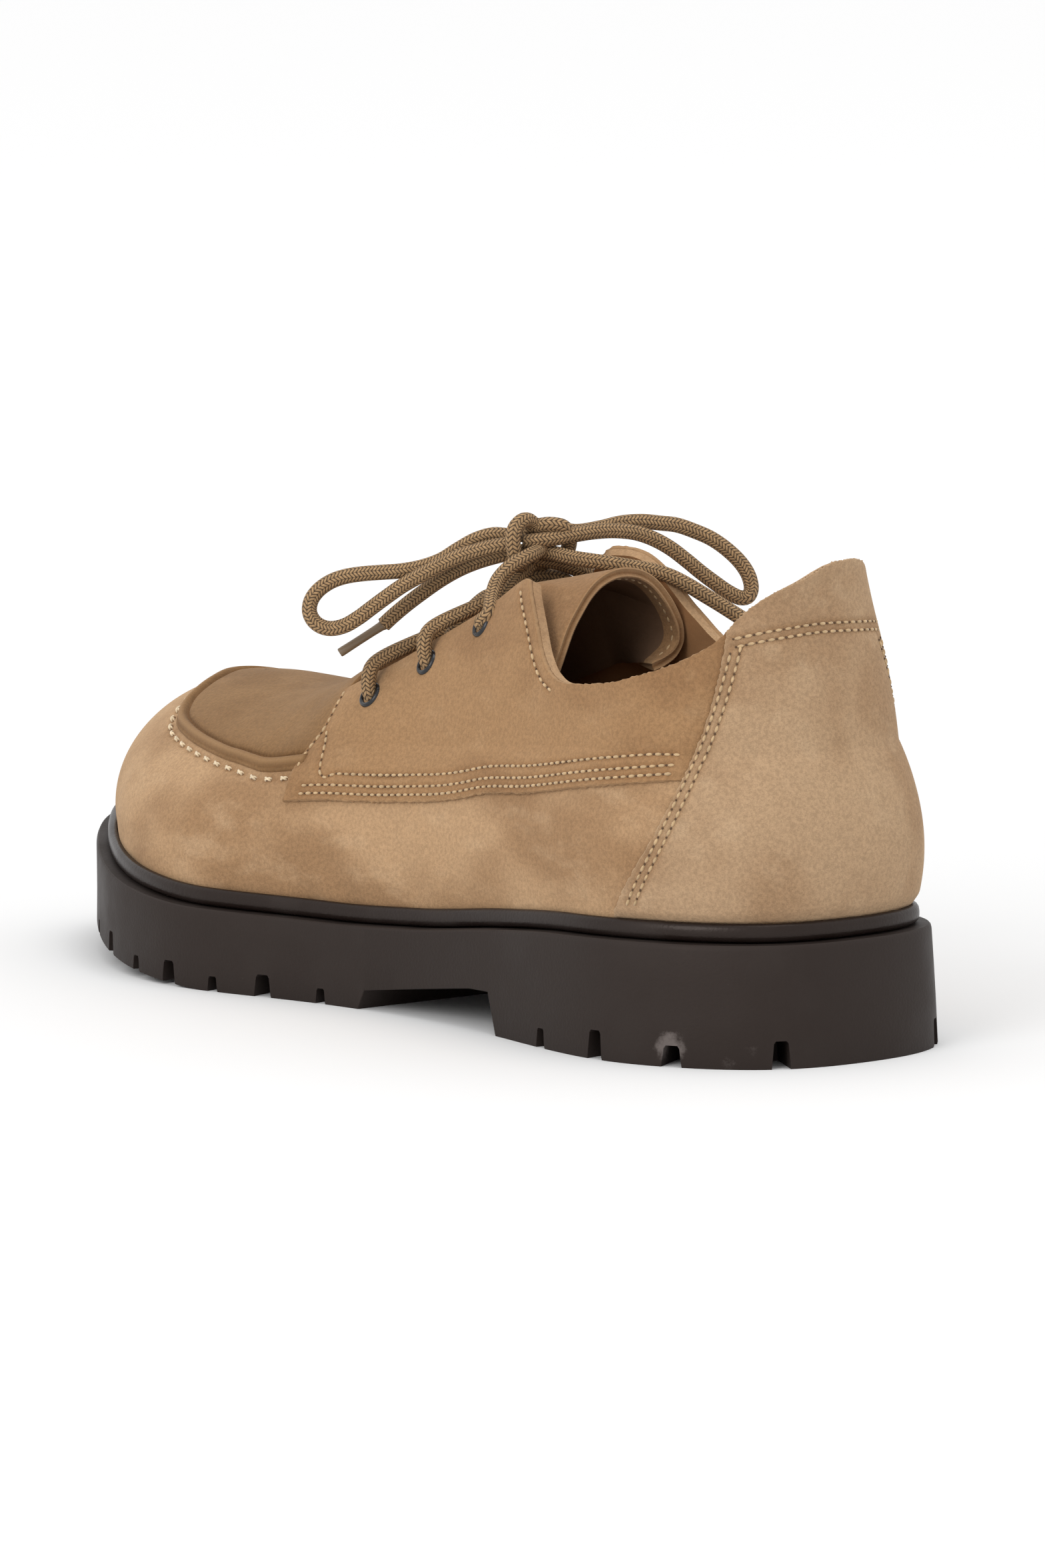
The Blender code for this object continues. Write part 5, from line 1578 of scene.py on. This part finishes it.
CROSSINGS = (("lace_crossing_front", 0, "lace_cross_1"), ("lace_crossing_back", 1, "lace_cross_2"))
for name, low, node in CROSSINGS:
    lace_piece(name, [crossing(label, low, low + 1) for label in ("outer", "inner")], [node])
print("lace crossings:", len(CROSSINGS))

# %% The bow
KNOT_CENTRE = np.array((-0.0046, 0.1166, 0.1106))
LOOP_OUTER = (
    (-0.0018, 0.1176, 0.1119), (-0.0052, 0.1206, 0.1115), (-0.0078, 0.1233, 0.1116),
    (-0.0108, 0.1261, 0.1104), (-0.0139, 0.1288, 0.1081), (-0.0170, 0.1315, 0.1055),
    (-0.0201, 0.1343, 0.1039), (-0.0240, 0.1374, 0.1029), (-0.0278, 0.1405, 0.1025),
    (-0.0316, 0.1436, 0.1021), (-0.0348, 0.1462, 0.1014), (-0.0374, 0.1482, 0.1002),
    (-0.0398, 0.1499, 0.0981), (-0.0412, 0.1508, 0.0957), (-0.0416, 0.1509, 0.0932),
    (-0.0411, 0.1502, 0.0912), (-0.0400, 0.1489, 0.0898), (-0.0383, 0.1471, 0.0892),
    (-0.0361, 0.1446, 0.0899), (-0.0337, 0.1423, 0.0918), (-0.0312, 0.1401, 0.0943),
    (-0.0288, 0.1378, 0.0968), (-0.0258, 0.1350, 0.0997), (-0.0230, 0.1319, 0.1021),
    (-0.0196, 0.1282, 0.1048), (-0.0169, 0.1249, 0.1068), (-0.0136, 0.1211, 0.1085),
    (-0.0103, 0.1174, 0.1097), (-0.0071, 0.1148, 0.1102),
)
LOOP_INNER = (
    (-0.0024, 0.1182, 0.1125), (0.0006, 0.1161, 0.1133), (0.0044, 0.1149, 0.1130),
    (0.0095, 0.1134, 0.1121), (0.0156, 0.1119, 0.1127), (0.0205, 0.1101, 0.1137),
    (0.0252, 0.1081, 0.1139), (0.0292, 0.1065, 0.1134), (0.0331, 0.1048, 0.1128),
    (0.0369, 0.1029, 0.1113), (0.0405, 0.1008, 0.1094), (0.0441, 0.0987, 0.1064),
    (0.0469, 0.0970, 0.1030), (0.0481, 0.0958, 0.1000), (0.0482, 0.0952, 0.0971),
    (0.0471, 0.0952, 0.0955), (0.0456, 0.0960, 0.0953), (0.0429, 0.0972, 0.0967),
    (0.0397, 0.0985, 0.0991), (0.0365, 0.0998, 0.1017), (0.0333, 0.1010, 0.1045),
    (0.0292, 0.1025, 0.1078), (0.0251, 0.1040, 0.1102), (0.0210, 0.1054, 0.1117),
    (0.0158, 0.1068, 0.1124), (0.0104, 0.1079, 0.1124), (0.0050, 0.1090, 0.1119),
    (-0.0013, 0.1109, 0.1111), (-0.0061, 0.1141, 0.1105),
)
END_OUTER = (
    (-0.0033, 0.1157, 0.1081), (-0.0064, 0.1191, 0.1074), (-0.0083, 0.1226, 0.1064),
    (-0.0105, 0.1266, 0.1049), (-0.0126, 0.1307, 0.1029), (-0.0149, 0.1344, 0.1004),
    (-0.0175, 0.1378, 0.0974), (-0.0202, 0.1410, 0.0942), (-0.0225, 0.1435, 0.0913),
    (-0.0240, 0.1450, 0.0893),
)
END_INNER = (
    (-0.0043, 0.1164, 0.1085), (-0.0015, 0.1140, 0.1081), (0.0010, 0.1105, 0.1076),
    (0.0026, 0.1060, 0.1069), (0.0045, 0.1014, 0.1065), (0.0074, 0.0975, 0.1060),
    (0.0113, 0.0945, 0.1052), (0.0152, 0.0915, 0.1043), (0.0180, 0.0884, 0.1031),
    (0.0208, 0.0856, 0.1012), (0.0240, 0.0829, 0.0987), (0.0273, 0.0805, 0.0962),
    (0.0299, 0.0785, 0.0941), (0.0327, 0.0764, 0.0919),
)
KNOT_STRAND = (
    # up over the crossing strands, a dip, and a lower hump behind
    (-0.0060, 0.1148, 0.1046), (-0.0086, 0.1131, 0.1062), (-0.0099, 0.1125, 0.1088),
    (-0.0102, 0.1125, 0.1118),
    (-0.0093, 0.1129, 0.1141), (-0.0070, 0.1132, 0.1157), (-0.0044, 0.1139, 0.1156),
    (-0.0022, 0.1139, 0.1143),
    (0.0000, 0.1112, 0.1146), (0.0028, 0.1098, 0.1139), (0.0050, 0.1104, 0.1115), (0.0060, 0.1120, 0.1085),
    (0.0056, 0.1135, 0.1060),
)
RISER_OUTER = (
    (-0.0215, 0.1069, 0.0953), (-0.0189, 0.1093, 0.0986), (-0.0159, 0.1108, 0.1025),
    (-0.0128, 0.1101, 0.1055), (-0.0082, 0.1096, 0.1076), (-0.0030, 0.1118, 0.1086),
    (0.0002, 0.1145, 0.1098),
)


def length_of(path):
    return float(travel(path)[-1])


outer_riser = eyelet_to("outer", 2)[:3] + [np.array(spot) - ORIGIN for spot in RISER_OUTER]
inner_riser = eyelet_to("inner", 2)
target = KNOT_CENTRE - ORIGIN + np.array((0.002, -0.001, -0.0042))
inner_riser += [inner_riser[-1] * 0.45 + target * 0.55 + np.array((0, 0, 0.0016)), target]
lace_piece("lace_to_knot", [even_path(outer_riser, STEP), even_path(inner_riser, STEP)], ["lace_risers"])
knot_path = even_path(np.array(KNOT_STRAND) - ORIGIN, STEP)
knot = lace_piece("bow_knot_wrap", [knot_path], ["bow_knot"])

bow_pieces = {}
for name, rows, node in (
    ("bow_loop_outer", LOOP_OUTER, "loop_lateral"), ("bow_loop_inner", LOOP_INNER, "loop_medial"),
    ("lace_end_outer", END_OUTER, "end_lateral"), ("lace_end_inner", END_INNER, "end_medial"),
):
    path = even_path(np.array(rows) - ORIGIN, STEP)
    bow_pieces[node] = (lace_piece(name, [path], [node]), path)

TIP_PROFILE = (
    # distance along the tip and its radius, in millimetres
    (-0.6, 1.45), (0.0, 1.36), (0.8, 1.14), (3.0, 1.06), (6.0, 1.04), (9.0, 1.06), (11.6, 1.10), (12.3, 1.08),
    (12.5, 0.95),
)
TIP_SIDES = 20
OUTER_TIP_WAY = np.array((-0.697, 0.473, -0.539))
tips = {}
for node, source in (("tip_lateral", "end_lateral"), ("tip_medial", "end_medial")):
    path = bow_pieces[source][1]
    way = unit(OUTER_TIP_WAY if node == "tip_lateral" else path[-1] - path[-4])
    side = unit(np.cross(way, (0, 0, 1.0)))
    points = []
    for along, radius in TIP_PROFILE:
        points += circle(path[-1] + way * along * MM, side, np.cross(way, side), radius * MM, TIP_SIDES)
    made = mesh_object(node + "_film", points, tube_faces(len(TIP_PROFILE), TIP_SIDES), [tip_film], angle=50)
    turn_out(made)
    stand_for(made, "lace_tip", node)
    tips[source] = made

cords = [(bow_pieces["loop_lateral"], "object", "loose", []),
         (bow_pieces["loop_medial"], "object", "loose", []),
         ((knot, knot_path), "object", "taut", []),
         (bow_pieces["end_lateral"], "fitting", "hanging", [tips["end_lateral"]]),
         (bow_pieces["end_medial"], "fitting", "hanging", [tips["end_medial"]])]
for (piece, path), far_end, lay, held in cords:
    print(piece.name, "lace length", round(length_of(path) * 1000), "mm")

# %% [markdown]
# ## Floor, light and camera
# A white sweep under a broad soft light, as in a catalogue. The camera looks from behind the
# outer side, a little above the floor, with a long lens.

# %% Stage
floor_mesh = bpy.data.meshes.new("floor")
floor_mesh.from_pydata([(-6, -6, 0), (6, -6, 0), (6, 6, 0), (-6, 6, 0)], [], [(0, 1, 2, 3)])
floor = bpy.data.objects.new("floor", floor_mesh)
bpy.context.scene.collection.objects.link(floor)
floor_finish, floor_tree, floor_shader = new_material("pale_floor", (0.90, 0.90, 0.90), 0.9)
floor_shader.inputs["Specular IOR Level"].default_value = 0.1
away = floor_tree.nodes.new("ShaderNodeVectorMath")
away.operation = "LENGTH"
link(floor_tree, object_coordinates(floor_tree), away.inputs[0])
# Painted shade: the floor is darker near the shoe, offsetting the lamps' brighter light there.
far = spread(floor_tree, away.outputs["Value"], 0.15, 1.2)
floor_shade_gradient = blend_colors(floor_tree, far, (0.79, 0.79, 0.79, 1), (0.98, 0.98, 0.98, 1))
link(floor_tree, floor_shade_gradient, floor_shader.inputs["Base Color"])
floor_mesh.materials.append(floor_finish)

world = bpy.data.worlds.new("studio")
bpy.context.scene.world = world
world.use_nodes = True
sky = world.node_tree.nodes["Background"]
sky.inputs["Color"].default_value = (1, 1, 1, 1)
sky.inputs["Strength"].default_value = 1.0


def soft_light(name, place, target, size, power):
    light = bpy.data.lights.new(name, "AREA")
    light.shape = "DISK"
    light.size = size
    light.energy = power
    made = bpy.data.objects.new(name, light)
    made.location = place
    made.rotation_euler = (Vector(target) - Vector(place)).to_track_quat("-Z", "Y").to_euler()
    bpy.context.scene.collection.objects.link(made)


soft_light("overhead", (0.1, -0.3, 1.5), (0, 0, 0.05), 0.9, 5)
soft_light("camera_left", (-1.7, -0.6, 1.0), (0, 0, 0.05), 1.1, 13)

# %% Camera
CAMERA_PLACE = np.array((-1.41188, -1.70759, 0.36338)) - ORIGIN
FOCAL_IN_PIXELS = 14684
IMAGE_WIDTH, IMAGE_HEIGHT = 1568, 2352
LOOK = np.array((0.624386, 0.769991, -0.131363))
RIGHT = np.array((0.776722, -0.629844, 0.0))
UPWARD = np.cross(RIGHT, LOOK)
PHOTO_FOCAL = 9412.9
SHOE_PIXEL = (559, 1199)
aside = (SHOE_PIXEL[0] - IMAGE_WIDTH / 2) / PHOTO_FOCAL
down = (SHOE_PIXEL[1] - IMAGE_HEIGHT / 2) / PHOTO_FOCAL
aim = LOOK + RIGHT * aside - UPWARD * down
camera_data = bpy.data.cameras.new("camera")
camera = bpy.data.objects.new("camera", camera_data)
camera.location = CAMERA_PLACE
camera.rotation_euler = Vector(aim).to_track_quat("-Z", "Y").to_euler()
camera_data.sensor_fit = "AUTO"
camera_data.sensor_width = 36
camera_data.lens = FOCAL_IN_PIXELS / IMAGE_HEIGHT * 36
bpy.context.scene.collection.objects.link(camera)
bpy.context.scene.camera = camera
bpy.context.scene.view_settings.view_transform = "Standard"
print("lens", round(camera_data.lens, 1), "mm")
